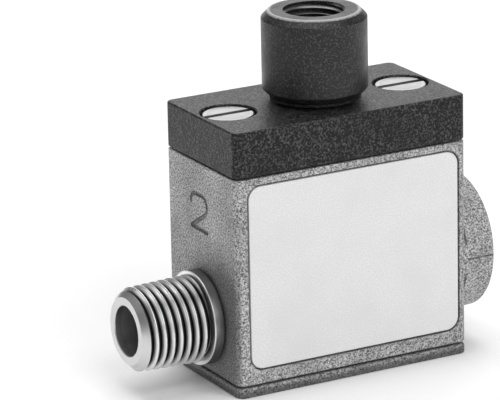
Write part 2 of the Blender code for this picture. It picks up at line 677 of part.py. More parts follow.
def make_cover_seals(model, material):
    """Build the rings under the cover, under the adapter and round the spigot."""
    cover_radius = PISTON_BORE_RADIUS + SEAL_GAP + COVER_SEAL_SECTION / 2
    cover_level = BLOCK_TOP - COVER_SEAL_RECESS_DEPTH + SEAL_GAP + COVER_SEAL_SECTION / 2
    model.add(ring_seal("cover_seal", cover_radius, COVER_SEAL_SECTION, cover_level), material)

    adapter_radius = ADAPTER_STEM_RADIUS + SEAL_GAP + ADAPTER_SEAL_SECTION / 2
    adapter_level = ADAPTER_BOTTOM - SEAL_GAP - ADAPTER_SEAL_SECTION / 2
    model.add(ring_seal("adapter_seal", adapter_radius, ADAPTER_SEAL_SECTION, adapter_level), material)

    spigot_radius = LOWER_CHAMBER_RADIUS - SEAL_GAP - BOTTOM_SEAL_SECTION / 2
    spigot_level = sum(bottom_seal_groove()) / 2
    model.add(ring_seal("bottom_plate_seal", spigot_radius, BOTTOM_SEAL_SECTION, spigot_level), material)


def make_pilot_port_adapter(model, material):
    """Build the round pilot connection that screws into the cover."""
    neck_radius = ADAPTER_RADIUS - ADAPTER_BEVEL
    neck_top = HEIGHT + ADAPTER_NECK_HEIGHT + SEAT_GAP
    mouth_radius = ADAPTER_BORE_RADIUS + ADAPTER_MOUTH_CHAMFER
    bore_floor = ADAPTER_TOP - ADAPTER_BORE_DEPTH
    stem_end = ADAPTER_THREAD_FLOOR + SEAT_GAP
    profile = [
        (mouth_radius, ADAPTER_TOP),
        (neck_radius, ADAPTER_TOP),
        (ADAPTER_RADIUS, ADAPTER_TOP - ADAPTER_BEVEL),
        (ADAPTER_RADIUS, neck_top + ADAPTER_BEVEL),
        (neck_radius, neck_top),
        (neck_radius, ADAPTER_BOTTOM),
        (ADAPTER_STEM_RADIUS, ADAPTER_BOTTOM),
        (ADAPTER_STEM_RADIUS, stem_end),
        (PILOT_PASSAGE_RADIUS, stem_end),
        (PILOT_PASSAGE_RADIUS, bore_floor),
        (ADAPTER_BORE_RADIUS, bore_floor),
        (ADAPTER_BORE_RADIUS, ADAPTER_TOP - ADAPTER_MOUTH_CHAMFER),
    ]
    model.add(turned("pilot_port_adapter", profile, FINE, ring=True), material)


def thread_groove(start, end, place):
    """Return the closed V groove of the nipple's right-hand thread.

    It winds about local Z from a start level to past an end level. Its radius is set
    out at the end and grows towards the start with the taper.
    """
    flank_slope = (NIPPLE_THREAD_PITCH - NIPPLE_CREST_WIDTH) / 2 / NIPPLE_THREAD_DEPTH
    half_mouth = flank_slope * (NIPPLE_THREAD_DEPTH + NIPPLE_GROOVE_MARGIN)
    root = NIPPLE_TIP_RADIUS - NIPPLE_THREAD_DEPTH
    mouth = NIPPLE_TIP_RADIUS + NIPPLE_GROOVE_MARGIN
    bm = bmesh.new()
    corners = [(root, start), (mouth, start + half_mouth), (mouth, start - half_mouth)]
    section = bm.faces.new([bm.verts.new((radius, 0.0, height)) for radius, height in corners])
    turns = math.ceil((end - start + half_mouth) / NIPPLE_THREAD_PITCH)
    bmesh.ops.spin(
        bm,
        geom=[section, *section.edges, *section.verts],
        axis=(0.0, 0.0, 1.0),
        dvec=(0.0, 0.0, NIPPLE_THREAD_PITCH / MEDIUM),
        angle=2 * math.pi * turns,
        steps=turns * MEDIUM,
    )
    for vert in bm.verts:
        radius = vert.co.xy.length
        growth = 1.0 + NIPPLE_TAPER * (end - vert.co.z) / radius
        vert.co.x *= growth
        vert.co.y *= growth
    bmesh.ops.recalc_face_normals(bm, faces=bm.faces)
    return mesh_object("thread_groove", bm, place)


def make_threaded_nipple(model, material):
    """Build the tapered male thread, its collar and the shank in the block."""
    collar_start = LENGTH / 2 + SEAT_GAP
    collar_end = collar_start + NIPPLE_COLLAR_LENGTH
    relief_end = collar_end + NIPPLE_RELIEF_LENGTH
    taper_start = NIPPLE_END - NIPPLE_TIP_CHAMFER
    root_radius = NIPPLE_TIP_RADIUS + NIPPLE_TAPER * (NIPPLE_END - relief_end)
    relief_radius = root_radius - NIPPLE_RELIEF_DEPTH
    shoulder_radius = NIPPLE_TIP_RADIUS + NIPPLE_TAPER * NIPPLE_TIP_CHAMFER
    shank_end = LENGTH / 2 - NIPPLE_SHANK_LENGTH
    profile = [
        (NIPPLE_BORE_RADIUS, NIPPLE_END),
        (NIPPLE_TIP_RADIUS - NIPPLE_TIP_CHAMFER, NIPPLE_END),
        (shoulder_radius, taper_start),
        (root_radius, relief_end),
        (relief_radius, relief_end),
        (relief_radius, collar_end),
        (NIPPLE_COLLAR_RADIUS, collar_end),
        (NIPPLE_COLLAR_RADIUS, collar_start),
        (NIPPLE_SHANK_RADIUS, collar_start),
        (NIPPLE_SHANK_RADIUS, shank_end),
        (NIPPLE_BORE_RADIUS, shank_end),
    ]
    place = at(0.0, 0.0, NIPPLE_HEIGHT) @ X_OUT_LEFT
    nipple = turned("threaded_nipple", profile, MEDIUM, place, ring=True)
    model.cut(nipple, thread_groove(relief_end, NIPPLE_END, place))
    model.add(nipple, material)


def make_poppet(model, material, seal_material):
    """Build the poppet with its tail and the ring that closes on the seat lip."""
    groove_floor = POPPET_TOP - POPPET_SEAL_THICKNESS - SEAL_GAP
    hub_radius = POPPET_SPRING_RADIUS - POPPET_SPRING_WIRE / 2 - SEAL_GAP
    profile = [
        (0.0, POPPET_TOP),
        (POPPET_SEAL_INNER - SEAL_GAP, POPPET_TOP),
        (POPPET_SEAL_INNER - SEAL_GAP, groove_floor),
        (POPPET_SEAL_OUTER + SEAL_GAP, groove_floor),
        (POPPET_SEAL_OUTER + SEAL_GAP, POPPET_TOP),
        (POPPET_RADIUS, POPPET_TOP),
        (POPPET_RADIUS, POPPET_BOTTOM),
        (hub_radius, POPPET_BOTTOM),
        (hub_radius, POPPET_HUB_BOTTOM),
        (POPPET_TAIL_RADIUS, POPPET_HUB_BOTTOM),
        (POPPET_TAIL_RADIUS, POPPET_TAIL_END),
        (0.0, POPPET_TAIL_END),
    ]
    model.add(turned("poppet", profile, MEDIUM), material)
    seal_profile = [
        (POPPET_SEAL_INNER, POPPET_TOP),
        (POPPET_SEAL_OUTER, POPPET_TOP),
        (POPPET_SEAL_OUTER, POPPET_TOP - POPPET_SEAL_THICKNESS),
        (POPPET_SEAL_INNER, POPPET_TOP - POPPET_SEAL_THICKNESS),
    ]
    model.add(turned("poppet_seal", seal_profile, MEDIUM, ring=True), seal_material)


def make_guide_bush(model, material, seal_material, ring_material):
    """Build the bush that guides the push rod, its two seals and its snap ring."""
    bush_radius = PISTON_BORE_RADIUS - RUNNING_GAP
    middle = (BUSH_BOTTOM + BUSH_TOP) / 2
    outer_half = BUSH_SEAL_SECTION / 2 + SEAL_GAP
    outer_root = PISTON_BORE_RADIUS - BUSH_SEAL_SECTION - 2 * SEAL_GAP
    bore_radius = PUSH_ROD_RADIUS + RUNNING_GAP
    inner_half = ROD_SEAL_SECTION / 2 + SEAL_GAP
    inner_root = PUSH_ROD_RADIUS + ROD_SEAL_SECTION + 2 * SEAL_GAP
    profile = [
        (bore_radius, BUSH_TOP),
        (bush_radius, BUSH_TOP),
        (bush_radius, middle + outer_half),
        (outer_root, middle + outer_half),
        (outer_root, middle - outer_half),
        (bush_radius, middle - outer_half),
        (bush_radius, BUSH_BOTTOM),
        (bore_radius, BUSH_BOTTOM),
        (bore_radius, middle - inner_half),
        (inner_root, middle - inner_half),
        (inner_root, middle + inner_half),
        (bore_radius, middle + inner_half),
    ]
    model.add(turned("guide_bush", profile, MEDIUM, ring=True), material)
    outer_radius = PISTON_BORE_RADIUS - SEAL_GAP - BUSH_SEAL_SECTION / 2
    model.add(ring_seal("guide_bush_seal", outer_radius, BUSH_SEAL_SECTION, middle), seal_material)
    rod_radius = PUSH_ROD_RADIUS + SEAL_GAP + ROD_SEAL_SECTION / 2
    model.add(ring_seal("rod_seal", rod_radius, ROD_SEAL_SECTION, middle), seal_material)

    steps = RING_SEGMENTS
    sweep = 2 * math.pi - SNAP_RING_GAP_ANGLE
    points = []
    for step in range(steps + 1):
        angle = SNAP_RING_GAP_ANGLE / 2 + sweep * step / steps
        x = PISTON_BORE_RADIUS * math.cos(angle)
        y = PISTON_BORE_RADIUS * math.sin(angle)
        points.append((x, y, SNAP_RING_LEVEL))
    model.add(wire("bush_retaining_ring", points, SNAP_RING_WIRE), ring_material)


def make_pilot_piston(model, material, seal_material):
    """Build the piston with its ring groove, spring pocket and nut recess."""
    radius = PISTON_BORE_RADIUS - RUNNING_GAP
    middle = (PISTON_BOTTOM + PISTON_TOP) / 2
    half = PISTON_SEAL_SECTION / 2 + SEAL_GAP
    groove_radius = PISTON_BORE_RADIUS - PISTON_SEAL_SECTION - 2 * SEAL_GAP
    bore_radius = PUSH_ROD_END_RADIUS + RUNNING_GAP
    recess_floor = PISTON_TOP - NUT_HEIGHT - NUT_SINK
    pocket_top = PISTON_BOTTOM + PISTON_POCKET_DEPTH
    chamfer = PISTON_EDGE_CHAMFER
    profile = [
        (NUT_RECESS_RADIUS, PISTON_TOP),
        (radius - chamfer, PISTON_TOP),
        (radius, PISTON_TOP - chamfer),
        (radius, middle + half),
        (groove_radius, middle + half),
        (groove_radius, middle - half),
        (radius, middle - half),
        (radius, PISTON_BOTTOM + chamfer),
        (radius - chamfer, PISTON_BOTTOM),
        (PISTON_POCKET_RADIUS, PISTON_BOTTOM),
        (PISTON_POCKET_RADIUS, pocket_top),
        (PISTON_HUB_RADIUS, pocket_top),
        (PISTON_HUB_RADIUS, PISTON_BOTTOM),
        (bore_radius, PISTON_BOTTOM),
        (bore_radius, recess_floor),
        (NUT_RECESS_RADIUS, recess_floor),
    ]
    model.add(turned("pilot_piston", profile, MEDIUM, ring=True), material)
    seal_radius = PISTON_BORE_RADIUS - SEAL_GAP - PISTON_SEAL_SECTION / 2
    model.add(ring_seal("piston_seal", seal_radius, PISTON_SEAL_SECTION, middle), seal_material)


def make_push_rod(model, material, nut_material):
    """Build the stepped push rod and the nut that clamps the piston on it."""
    rod_end = POPPET_TOP + PUSH_ROD_GAP
    shoulder = PISTON_BOTTOM - RUNNING_GAP
    nut_bottom = PISTON_TOP - NUT_HEIGHT - NUT_SINK + RUNNING_GAP
    nut_top = nut_bottom + NUT_HEIGHT
    rod_top = nut_top + RUNNING_GAP
    tip_chamfer = PUSH_ROD_TIP_CHAMFER
    profile = [
        (0.0, rod_top),
        (PUSH_ROD_END_RADIUS, rod_top),
        (PUSH_ROD_END_RADIUS, shoulder),
        (PUSH_ROD_RADIUS, shoulder),
        (PUSH_ROD_RADIUS, rod_end + tip_chamfer),
        (PUSH_ROD_RADIUS - tip_chamfer, rod_end),
        (0.0, rod_end),
    ]
    model.add(turned("push_rod", profile, SMALL), material)

    bm = bmesh.new()
    bmesh.ops.create_cone(
        bm,
        cap_ends=True,
        segments=6,
        radius1=NUT_CORNER_RADIUS,
        radius2=NUT_CORNER_RADIUS,
        depth=NUT_HEIGHT,
    )
    nut = mesh_object("push_rod_nut", bm, at(0.0, 0.0, (nut_bottom + nut_top) / 2))
    bore = PUSH_ROD_END_RADIUS + RUNNING_GAP
    model.cut(nut, rod("nut_thread", bore, PISTON_BOTTOM, HEIGHT, SMALL))
    model.add(nut, nut_material)


def make_springs(model, material):
    """Build the piston's return spring and the poppet's closing spring."""
    return_spring = coil_spring(
        "piston_return_spring",
        RETURN_SPRING_RADIUS,
        RETURN_SPRING_WIRE,
        BUSH_TOP + SEAL_GAP,
        PISTON_BOTTOM + PISTON_POCKET_DEPTH - SEAL_GAP,
        RETURN_SPRING_TURNS,
    )
    model.add(return_spring, material)
    poppet_spring = coil_spring(
        "poppet_spring",
        POPPET_SPRING_RADIUS,
        POPPET_SPRING_WIRE,
        SPIGOT_TOP + SEAL_GAP,
        POPPET_BOTTOM - SEAL_GAP,
        POPPET_SPRING_TURNS,
    )
    model.add(poppet_spring, material)


def build():
    """Build the whole valve."""
    clear_scene()
    model = Assembly()
    block_metal = new_material("cast_block_metal", (0.42, 0.42, 0.43), 0.5, 0.8)
    plate_metal = new_material("plate_metal", (0.36, 0.36, 0.37), 0.45, 0.85)
    cover_black = new_material("black_cover", (0.03, 0.03, 0.032), 0.45, 0.1)
    adapter_black = new_material("black_adapter", (0.022, 0.022, 0.024), 0.42, 0.1)
    nipple_metal = new_material("plated_nipple", (0.6, 0.6, 0.6), 0.3, 1.0)
    screw_metal = new_material("plated_screw", (0.72, 0.72, 0.72), 0.28, 1.0)
    name_plate_white = new_material("blank_name_plate", (0.84, 0.84, 0.84), 0.5, 0.0)
    brass = new_material("turned_brass", (0.62, 0.48, 0.22), 0.32, 1.0)
    piston_metal = new_material("turned_aluminium", (0.68, 0.69, 0.7), 0.35, 1.0)
    rod_steel = new_material("ground_steel", (0.55, 0.55, 0.56), 0.22, 1.0)
    spring_steel = new_material("spring_steel", (0.5, 0.5, 0.51), 0.3, 1.0)
    rubber = new_material("black_rubber", (0.02, 0.02, 0.02), 0.75, 0.0)

    make_valve_block(model, block_metal)
    make_name_plate(model, name_plate_white)
    make_bottom_plate(model, plate_metal)
    make_bottom_screws(model, screw_metal)
    make_pilot_cover(model, cover_black)
    make_cover_screws(model, screw_metal)
    make_pilot_port_adapter(model, adapter_black)
    make_cover_seals(model, rubber)
    make_threaded_nipple(model, nipple_metal)
    make_guide_bush(model, brass, rubber, spring_steel)
    make_pilot_piston(model, piston_metal, rubber)
    make_push_rod(model, rod_steel, rod_steel)
    make_poppet(model, brass, rubber)
    make_springs(model, spring_steel)


build()
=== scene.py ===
"""Looks of a pilot operated non-return valve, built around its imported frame.

Every piece is a surface worked out here from the frame's own boxes and its own few
sizes. Lengths are metres, +Z is up, the male thread points to -X, the female port to
+X and the name plate faces -Y.
"""

from __future__ import annotations

import logging
import math
from dataclasses import dataclass, replace
from enum import Enum
from functools import reduce
from typing import Sequence

import bmesh
import bpy
import numpy as np
from mathutils import Matrix, Vector


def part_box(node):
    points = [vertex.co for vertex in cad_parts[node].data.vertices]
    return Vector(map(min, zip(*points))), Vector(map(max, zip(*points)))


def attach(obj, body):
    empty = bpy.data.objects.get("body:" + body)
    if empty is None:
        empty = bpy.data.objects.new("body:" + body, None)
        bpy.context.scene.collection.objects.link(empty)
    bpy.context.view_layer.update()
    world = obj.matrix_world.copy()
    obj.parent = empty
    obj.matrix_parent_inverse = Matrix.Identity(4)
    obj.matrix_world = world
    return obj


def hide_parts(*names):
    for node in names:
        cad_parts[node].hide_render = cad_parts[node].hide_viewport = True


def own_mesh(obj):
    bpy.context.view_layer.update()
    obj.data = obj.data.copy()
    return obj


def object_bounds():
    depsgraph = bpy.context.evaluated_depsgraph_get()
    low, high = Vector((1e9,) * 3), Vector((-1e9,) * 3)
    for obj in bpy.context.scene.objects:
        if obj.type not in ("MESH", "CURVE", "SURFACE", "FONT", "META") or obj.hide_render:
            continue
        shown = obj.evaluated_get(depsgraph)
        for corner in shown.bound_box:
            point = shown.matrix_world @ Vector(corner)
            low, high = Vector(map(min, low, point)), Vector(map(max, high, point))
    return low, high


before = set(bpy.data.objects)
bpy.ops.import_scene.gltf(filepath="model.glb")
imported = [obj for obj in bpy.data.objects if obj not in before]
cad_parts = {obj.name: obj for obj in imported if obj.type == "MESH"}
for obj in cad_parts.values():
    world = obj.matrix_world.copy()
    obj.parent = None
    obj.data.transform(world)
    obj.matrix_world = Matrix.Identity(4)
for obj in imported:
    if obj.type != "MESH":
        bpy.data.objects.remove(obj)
CAD_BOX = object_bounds()

log = logging.getLogger("valve")

Array = np.ndarray
Piece = bpy.types.Object
Socket = bpy.types.NodeSocket
Colour = tuple[float, float, float]
Point = tuple[float, float, float]
Corner = tuple[float, float, float]
Value = float | Colour | Socket

# Lengths. Points within WELD become one, and a cutting tool reaches CUT_MARGIN past the
# face that it cuts. Pieces have CLEARANCE round them and END_GAP at their ends.
MM = 0.001
WELD = 0.0008 * MM
CUT_MARGIN = 0.6 * MM
CLEARANCE = 0.1 * MM
END_GAP = 0.3 * MM
SHARP_RIMS = (0.0, 0.0)
SLOT_CORNER = 0.02 * MM

# Pitch and depth of the pipe threads R1/4 and G1/4, and of G1/8. R1/4 grows by TAPER.
QUARTER_THREAD = (1.337 * MM, 0.856 * MM)
EIGHTH_THREAD = (0.907 * MM, 0.581 * MM)
TAPER = 1.0 / 32.0

# Angles. Half the angle at a profile's corner stays between the last two.
SHARP_ANGLE = math.radians(38.0)
NEEDLE = 0.01
STRAIGHT = math.pi / 2 - 0.001

# Facets
ROUND = 96
SMALL_ROUND = 48
THREAD_STEPS = 72
FILLET_STEPS = 5
CORNER_STEPS = 12

# Looks
RISE = (0.0, 1.0)
FALL = (1.0, 0.0)
# Colour of the bare metal in the adapter's bore, darkened as painted shade
SHADED_BORE_METAL = (0.2, 0.2, 0.2)
MACHINED_LIGHT = (0.56, 0.56, 0.565)
MACHINED_DARK = (0.36, 0.36, 0.365)
MACHINED_ROUGHNESS = 0.34
MACHINED_METAL = 0.9


class Body(Enum):
    """Bodies of the frame that pieces ride on."""

    VALVE = "valve_body"
    PISTON = "piston"
    POPPET = "check_poppet"


class Facing(Enum):
    """Directions that the own +Z axis of a turned piece can point to."""

    UP = Matrix.Identity(3)
    LEFT = Matrix.Rotation(-math.pi / 2, 3, "Y")
    RIGHT = Matrix.Rotation(math.pi / 2, 3, "Y")
    BACK = Matrix.Rotation(-math.pi / 2, 3, "X")


@dataclass(frozen=True)
class Surface:
    """Points and faces of a closed surface, before it becomes a mesh."""

    points: Array  # One row of three coordinates for each point
    faces: list[list[int]]  # Lists of point numbers, one for each face

    def stood(self, facing: Facing, origin: Sequence[float]) -> Surface:
        """Return the surface turned to a direction and moved to an origin."""
        turn = np.array(facing.value)
        return Surface(self.points @ turn.T + np.array(origin), self.faces)

    def piece(self, name: str) -> Piece:
        """Put the surface into a mesh with its seams and poles welded.

        Args:
            name: Name of the new object.

        Returns:
            The object, linked to the scene, at the origin.
        """
        mesh = bpy.data.meshes.new(name)
        mesh.from_pydata(self.points.tolist(), [], self.faces)
        thing = bpy.data.objects.new(name, welded(mesh))
        bpy.context.scene.collection.objects.link(thing)
        return thing


def welded(mesh: bpy.types.Mesh) -> bpy.types.Mesh:
    """Close a mesh's seams, drop its empty faces and turn its normals outward.

    Args:
        mesh: The mesh, which is changed.

    Returns:
        The same mesh.
    """
    bm = bmesh.new()
    bm.from_mesh(mesh)
    bmesh.ops.remove_doubles(bm, verts=bm.verts, dist=WELD)
    bmesh.ops.dissolve_degenerate(bm, edges=bm.edges, dist=WELD)
    bmesh.ops.recalc_face_normals(bm, faces=bm.faces)
    bm.to_mesh(mesh)
    bm.free()
    return mesh


def unit(vectors: Array) -> Array:
    """Return vectors scaled to length one, and left at zero where they have none."""
    lengths = np.linalg.norm(vectors, axis=-1, keepdims=True)
    return vectors / np.where(lengths > 0.0, lengths, 1.0)


def rounded_profile(corners: Sequence[Corner], closed: bool = False) -> Array:
    """Round the corners of a profile.

    A corner P with neighbours A and B and fillet radius R becomes an arc. The arc
    starts and ends R / tan(h) from P on the two sides, where h is half the angle
    between PA and PB, and its centre is R / sin(h) from P on their bisector.

    Args:
        corners: Radius, height and fillet radius of each corner, in order.
        closed: Whether the last corner joins the first. An open profile's two ends
            are not rounded.

    Returns:
        Rows of radius and height.
    """
    table = np.array(corners, float)
    spots, fillets = table[:, :2], table[:, 2].copy()
    if not closed:
        fillets[[0, -1]] = 0.0
    back = unit(np.roll(spots, 1, axis=0) - spots)
    ahead = unit(np.roll(spots, -1, axis=0) - spots)
    half = np.arccos(np.clip((back * ahead).sum(axis=1), -1.0, 1.0)) / 2
    half = np.clip(half, NEEDLE, STRAIGHT)
    reach = (fillets / np.tan(half))[:, None]
    centre = spots + unit(back + ahead) * (fillets / np.sin(half))[:, None]
    start, end = spots + back * reach - centre, spots + ahead * reach - centre
    sweep = (math.pi - 2 * half)[:, None]
    share = np.linspace(0.0, 1.0, FILLET_STEPS)[None, :]
    weight_start = np.sin((1.0 - share) * sweep) / np.sin(sweep)
    weight_end = np.sin(share * sweep) / np.sin(sweep)
    arcs = (
        centre[:, None, :]
        + weight_start[:, :, None] * start[:, None, :]
        + weight_end[:, :, None] * end[:, None, :]
    )
    rounded = arcs.reshape(-1, 2)
    steps = np.linalg.norm(np.diff(rounded, axis=0, prepend=rounded[:1] + 1.0), axis=1)
    return rounded[steps > WELD]


def grid_faces(rows: int, columns: int, wrap_rows: bool, slant: bool = False) -> list[list[int]]:
    """Return the faces of a grid of points whose columns close on themselves.

    Args:
        rows: Number of rows.
        columns: Number of points in a row.
        wrap_rows: Whether the last row joins the first.
        slant: Whether to split each face along the diagonal that a thread follows.

    Returns:
        Four point numbers for each face, or three where they are split.
    """
    upper = np.arange(rows if wrap_rows else rows - 1)[:, None]
    here = np.arange(columns)[None, :]
    lower, there = (upper + 1) % rows, (here + 1) % columns
    a, b = upper * columns + here, upper * columns + there
    c, d = lower * columns + there, lower * columns + here
    if slant:
        halves = np.concatenate([np.stack([a, b, c], -1), np.stack([a, c, d], -1)])
        return halves.reshape(-1, 3).tolist()
    return np.stack([a, b, c, d], -1).reshape(-1, 4).tolist()


@dataclass(frozen=True)
class Thread:
    """A right-hand screw thread on a turned surface."""

    form: tuple[float, float]  # Pitch, and depth from root to crest
    start: float  # Level at which the thread starts
    end: float  # Level at which it ends
    crest: float  # Crest radius of an outer thread, or root radius of an inner one, at end
    taper: float = 0.0  # Growth of that radius for each length away from the end
    inner: bool = False  # Whether the thread is in a hole
    phase: float = 0.5  # Share of a turn that the thread has gone from its crest at the start
    flat: float = 0.08  # Flat at the crest and at the root, as a share of half the pitch
    rounding: float = 0.38  # Share of the smooth step in the flank's form

    def levels(self) -> Array:
        """Return the levels of the thread's rows, a whole number of them for each turn."""
        turns = (self.end - self.start) / self.form[0]
        return np.linspace(self.start, self.end, max(2, round(turns * THREAD_STEPS)) + 1)

    def radii(self, heights: Array, angles: Array) -> Array:
        """Work out the radius at each height and angle.

        The form is a 55 degree tooth with rounded crest and root: the turns are the
        phase plus the height above the start over the pitch, less the angle over a
        turn. The tooth is their distance from the nearest whole number, and a smooth
        step rounds its ends.

        Args:
            heights: Levels, as a column.
            angles: Angles, as a row.

        Returns:
            One radius for each level and angle.
        """
        pitch, depth = self.form
        turns = self.phase + (heights - self.start) / pitch - angles / (2 * math.pi)
        tooth = 2.0 * np.abs(turns - np.round(turns))
        ramp = np.clip((tooth - self.flat) / (1.0 - 2.0 * self.flat), 0.0, 1.0)
        smooth = ramp * ramp * (3.0 - 2.0 * ramp)
        share = (1.0 - self.rounding) * ramp + self.rounding * smooth
        return self.crest + self.taper * (self.end - heights) - depth * share


def turned(
    profile: Array, segments: int, closed: bool = False, thread: Thread | None = None
) -> Surface:
    """Turn a profile about +Z.

    A point of radius r and height z at angle t goes to (r cos t, r sin t, z). Where
    the profile crosses a thread's levels it gets extra rows, and its radius there is
    the smaller of its own and the thread's, or the larger for a thread in a hole.

    Args:
        profile: Rows of radius and height.
        segments: Number of points round the axis.
        closed: Whether the profile is a loop, as for a ring.
        thread: Thread on the profile's spans that cover its levels.

    Returns:
        The closed surface.
    """
    columns = THREAD_STEPS if thread else segments
    angles = np.linspace(0.0, 2 * math.pi, columns, endpoint=False)[None, :]
    threaded = np.zeros(len(profile), bool)
    if thread:
        profile, threaded = with_thread_rows(profile, thread)
    radii = np.repeat(profile[:, :1], columns, axis=1)
    heights = np.repeat(profile[:, 1:], columns, axis=1)
    if thread:
        cut = thread.radii(heights, angles)
        limit = np.maximum(radii, cut) if thread.inner else np.minimum(radii, cut)
        radii = np.where(threaded[:, None], limit, radii)
    points = np.stack([radii * np.cos(angles), radii * np.sin(angles), heights], -1).reshape(-1, 3)
    return Surface(points, grid_faces(len(profile), columns, closed, slant=thread is not None))


def with_thread_rows(profile: Array, thread: Thread) -> tuple[Array, Array]:
    """Add a thread's rows to the profile spans that run through its levels.

    Args:
        profile: Rows of radius and height.
        thread: The thread.

    Returns:
        The longer profile, and for each of its rows whether the thread cuts it.
    """
    levels = thread.levels()
    pieces, marks = [], []
    for first, second in zip(profile, np.roll(profile, -1, axis=0)):
        pieces.append(first[None, :])
        low, high = sorted((first[1], second[1]))
        near = thread.inner == (max(first[0], second[0]) < thread.crest + WELD)
        on_span = levels[(levels > low + WELD) & (levels < high - WELD)]
        cuts = near and low >= thread.start - WELD and high <= thread.end + WELD
        marks.append([cuts and high - low > WELD])
        if cuts and len(on_span):
            ordered = on_span if second[1] > first[1] else on_span[::-1]
            share = (ordered - first[1]) / (second[1] - first[1])
            radii = first[0] + share * (second[0] - first[0])
            pieces.append(np.stack([radii, ordered], axis=1))
            marks.append([True] * len(ordered))
    cut = np.concatenate(marks)
    return np.concatenate(pieces), cut | np.roll(cut, 1)


def stroke(route: Array, across: Array, radius: float, sides: int = 12) -> Surface:
    """Carry a circle along a route, with rounded ends.

    At the route's point P with tangent T, normal N and M = N x T, the circle is
    P + r (cos t M + sin t N). At the ends r shrinks as R cos(a) while the circle moves
    on by R sin(a), for a from zero to a right angle.

    Args:
        route: The points of the route.
        across: Normal of the route at each of its points, or one for all of them.
        radius: Radius of the circle.
        sides: Number of points round it.

    Returns:
        The closed surface.
    """
    tangents = unit(np.gradient(route, axis=0))
    cap = np.linspace(0.0, math.pi / 2, FILLET_STEPS + 1)[1:, None]
    first = route[:1] - radius * np.sin(cap[::-1]) * tangents[:1]
    last = route[-1:] + radius * np.sin(cap) * tangents[-1:]
    middles = np.concatenate([first, route, last])
    ends = (len(cap), len(cap))
    ahead = np.pad(tangents, (ends, (0, 0)), mode="edge")
    normals = np.pad(np.broadcast_to(across, route.shape), (ends, (0, 0)), mode="edge")
    full = np.full((len(route), 1), radius)
    radii = np.concatenate([radius * np.cos(cap[::-1]), full, radius * np.cos(cap)])[:, :, None]
    side = unit(np.cross(normals, ahead))[:, None, :]
    angles = np.linspace(0.0, 2 * math.pi, sides, endpoint=False)[None, :, None]
    circles = np.cos(angles) * side + np.sin(angles) * normals[:, None, :]
    points = middles[:, None, :] + radii * circles
    return Surface(points.reshape(-1, 3), grid_faces(len(middles), sides, False))


def slab(
    low: Sequence[float],
    high: Sequence[float],
    corner: float,
    rims: tuple[float, float],
    facing: Facing = Facing.UP,
) -> Surface:
    """Work out a block with rounded upright edges and rounded rims.

    The outline at inset d runs round a rectangle with half sides a - d and b - d and
    corner radius r - d. Up a rim the inset follows a quarter circle: d is
    rim (1 - cos t) at a distance rim (1 - sin t) from the end.

    Args:
        low: Lowest corner of the block.
        high: Highest corner of the block.
        corner: Radius of the four edges that run along the facing's axis.
        rims: Radius of the edges round the first and the last end along the facing.
        facing: Direction that the last end looks along.

    Returns:
        The closed surface, with one flat face at either end.
    """
    turn = np.array(facing.value)
    middle = (np.array(low) + np.array(high)) / 2
    half_x, half_y, half_z = np.abs((np.array(high) - middle) @ turn)
    arc = np.linspace(0.0, math.pi / 2, FILLET_STEPS + 1)
    curve = np.stack([1.0 - np.cos(arc), 1.0 - np.sin(arc)])
    first, last = rims[0] * curve, rims[1] * curve
    inset = np.concatenate([first[0, ::-1], last[0]])[:, None]
    height = np.concatenate([-half_z + first[1, ::-1], half_z - last[1]])[:, None]
    quarter = np.linspace(0.0, math.pi / 2, CORNER_STEPS + 1)
    angles = np.concatenate([quarter + side * math.pi / 2 for side in range(4)])[None, :]
    side_x = np.repeat([1.0, -1.0, -1.0, 1.0], len(quarter))[None, :]
    side_y = np.repeat([1.0, 1.0, -1.0, -1.0], len(quarter))[None, :]
    across = side_x * (half_x - corner) + (corner - inset) * np.cos(angles)
    along = side_y * (half_y - corner) + (corner - inset) * np.sin(angles)
    points = np.stack([across, along, np.broadcast_to(height, across.shape)], -1)
    rows, columns = across.shape
    faces = grid_faces(rows, columns, False)
    faces.append(list(range(columns))[::-1])
    faces.append(list(range((rows - 1) * columns, rows * columns)))
    return Surface(points.reshape(-1, 3) @ turn.T + middle, faces)


def carved(
    body: Piece,
    cuts: Sequence[Piece] = (),
    joins: Sequence[Piece] = (),
) -> Piece:
    """Join tools to a body and cut others from it, then put the result in its mesh.

    Args:
        body: The piece that is worked on.
        cuts: Closed tools taken away from it.
        joins: Closed tools joined to it first.

    Returns:
        The body, with the tools deleted.
    """
    tools = [(tool, "UNION") for tool in joins] + [(tool, "DIFFERENCE") for tool in cuts]
    for tool, operation in tools:
        step = body.modifiers.new(tool.name, "BOOLEAN")
        step.operation = operation
        step.solver = "EXACT"
        step.object = tool
    solved = body.evaluated_get(bpy.context.evaluated_depsgraph_get())
    mesh = bpy.data.meshes.new_from_object(solved)
    body.modifiers.clear()
    body.data = welded(mesh)
    for tool, _ in tools:
        bpy.data.objects.remove(tool, do_unlink=True)
    return body


def smoothed(piece: Piece) -> Piece:
    """Shade a piece smooth between its sharp edges, with its flat faces kept flat.

    Args:
        piece: The piece, which is changed.

    Returns:
        The same piece.
    """
    piece.data.shade_smooth()
    piece.data.set_sharp_from_angle(angle=SHARP_ANGLE)
    flat = piece.modifiers.new("flat_faces", "WEIGHTED_NORMAL")
    flat.keep_sharp = True
    flat.weight = 100
    return piece


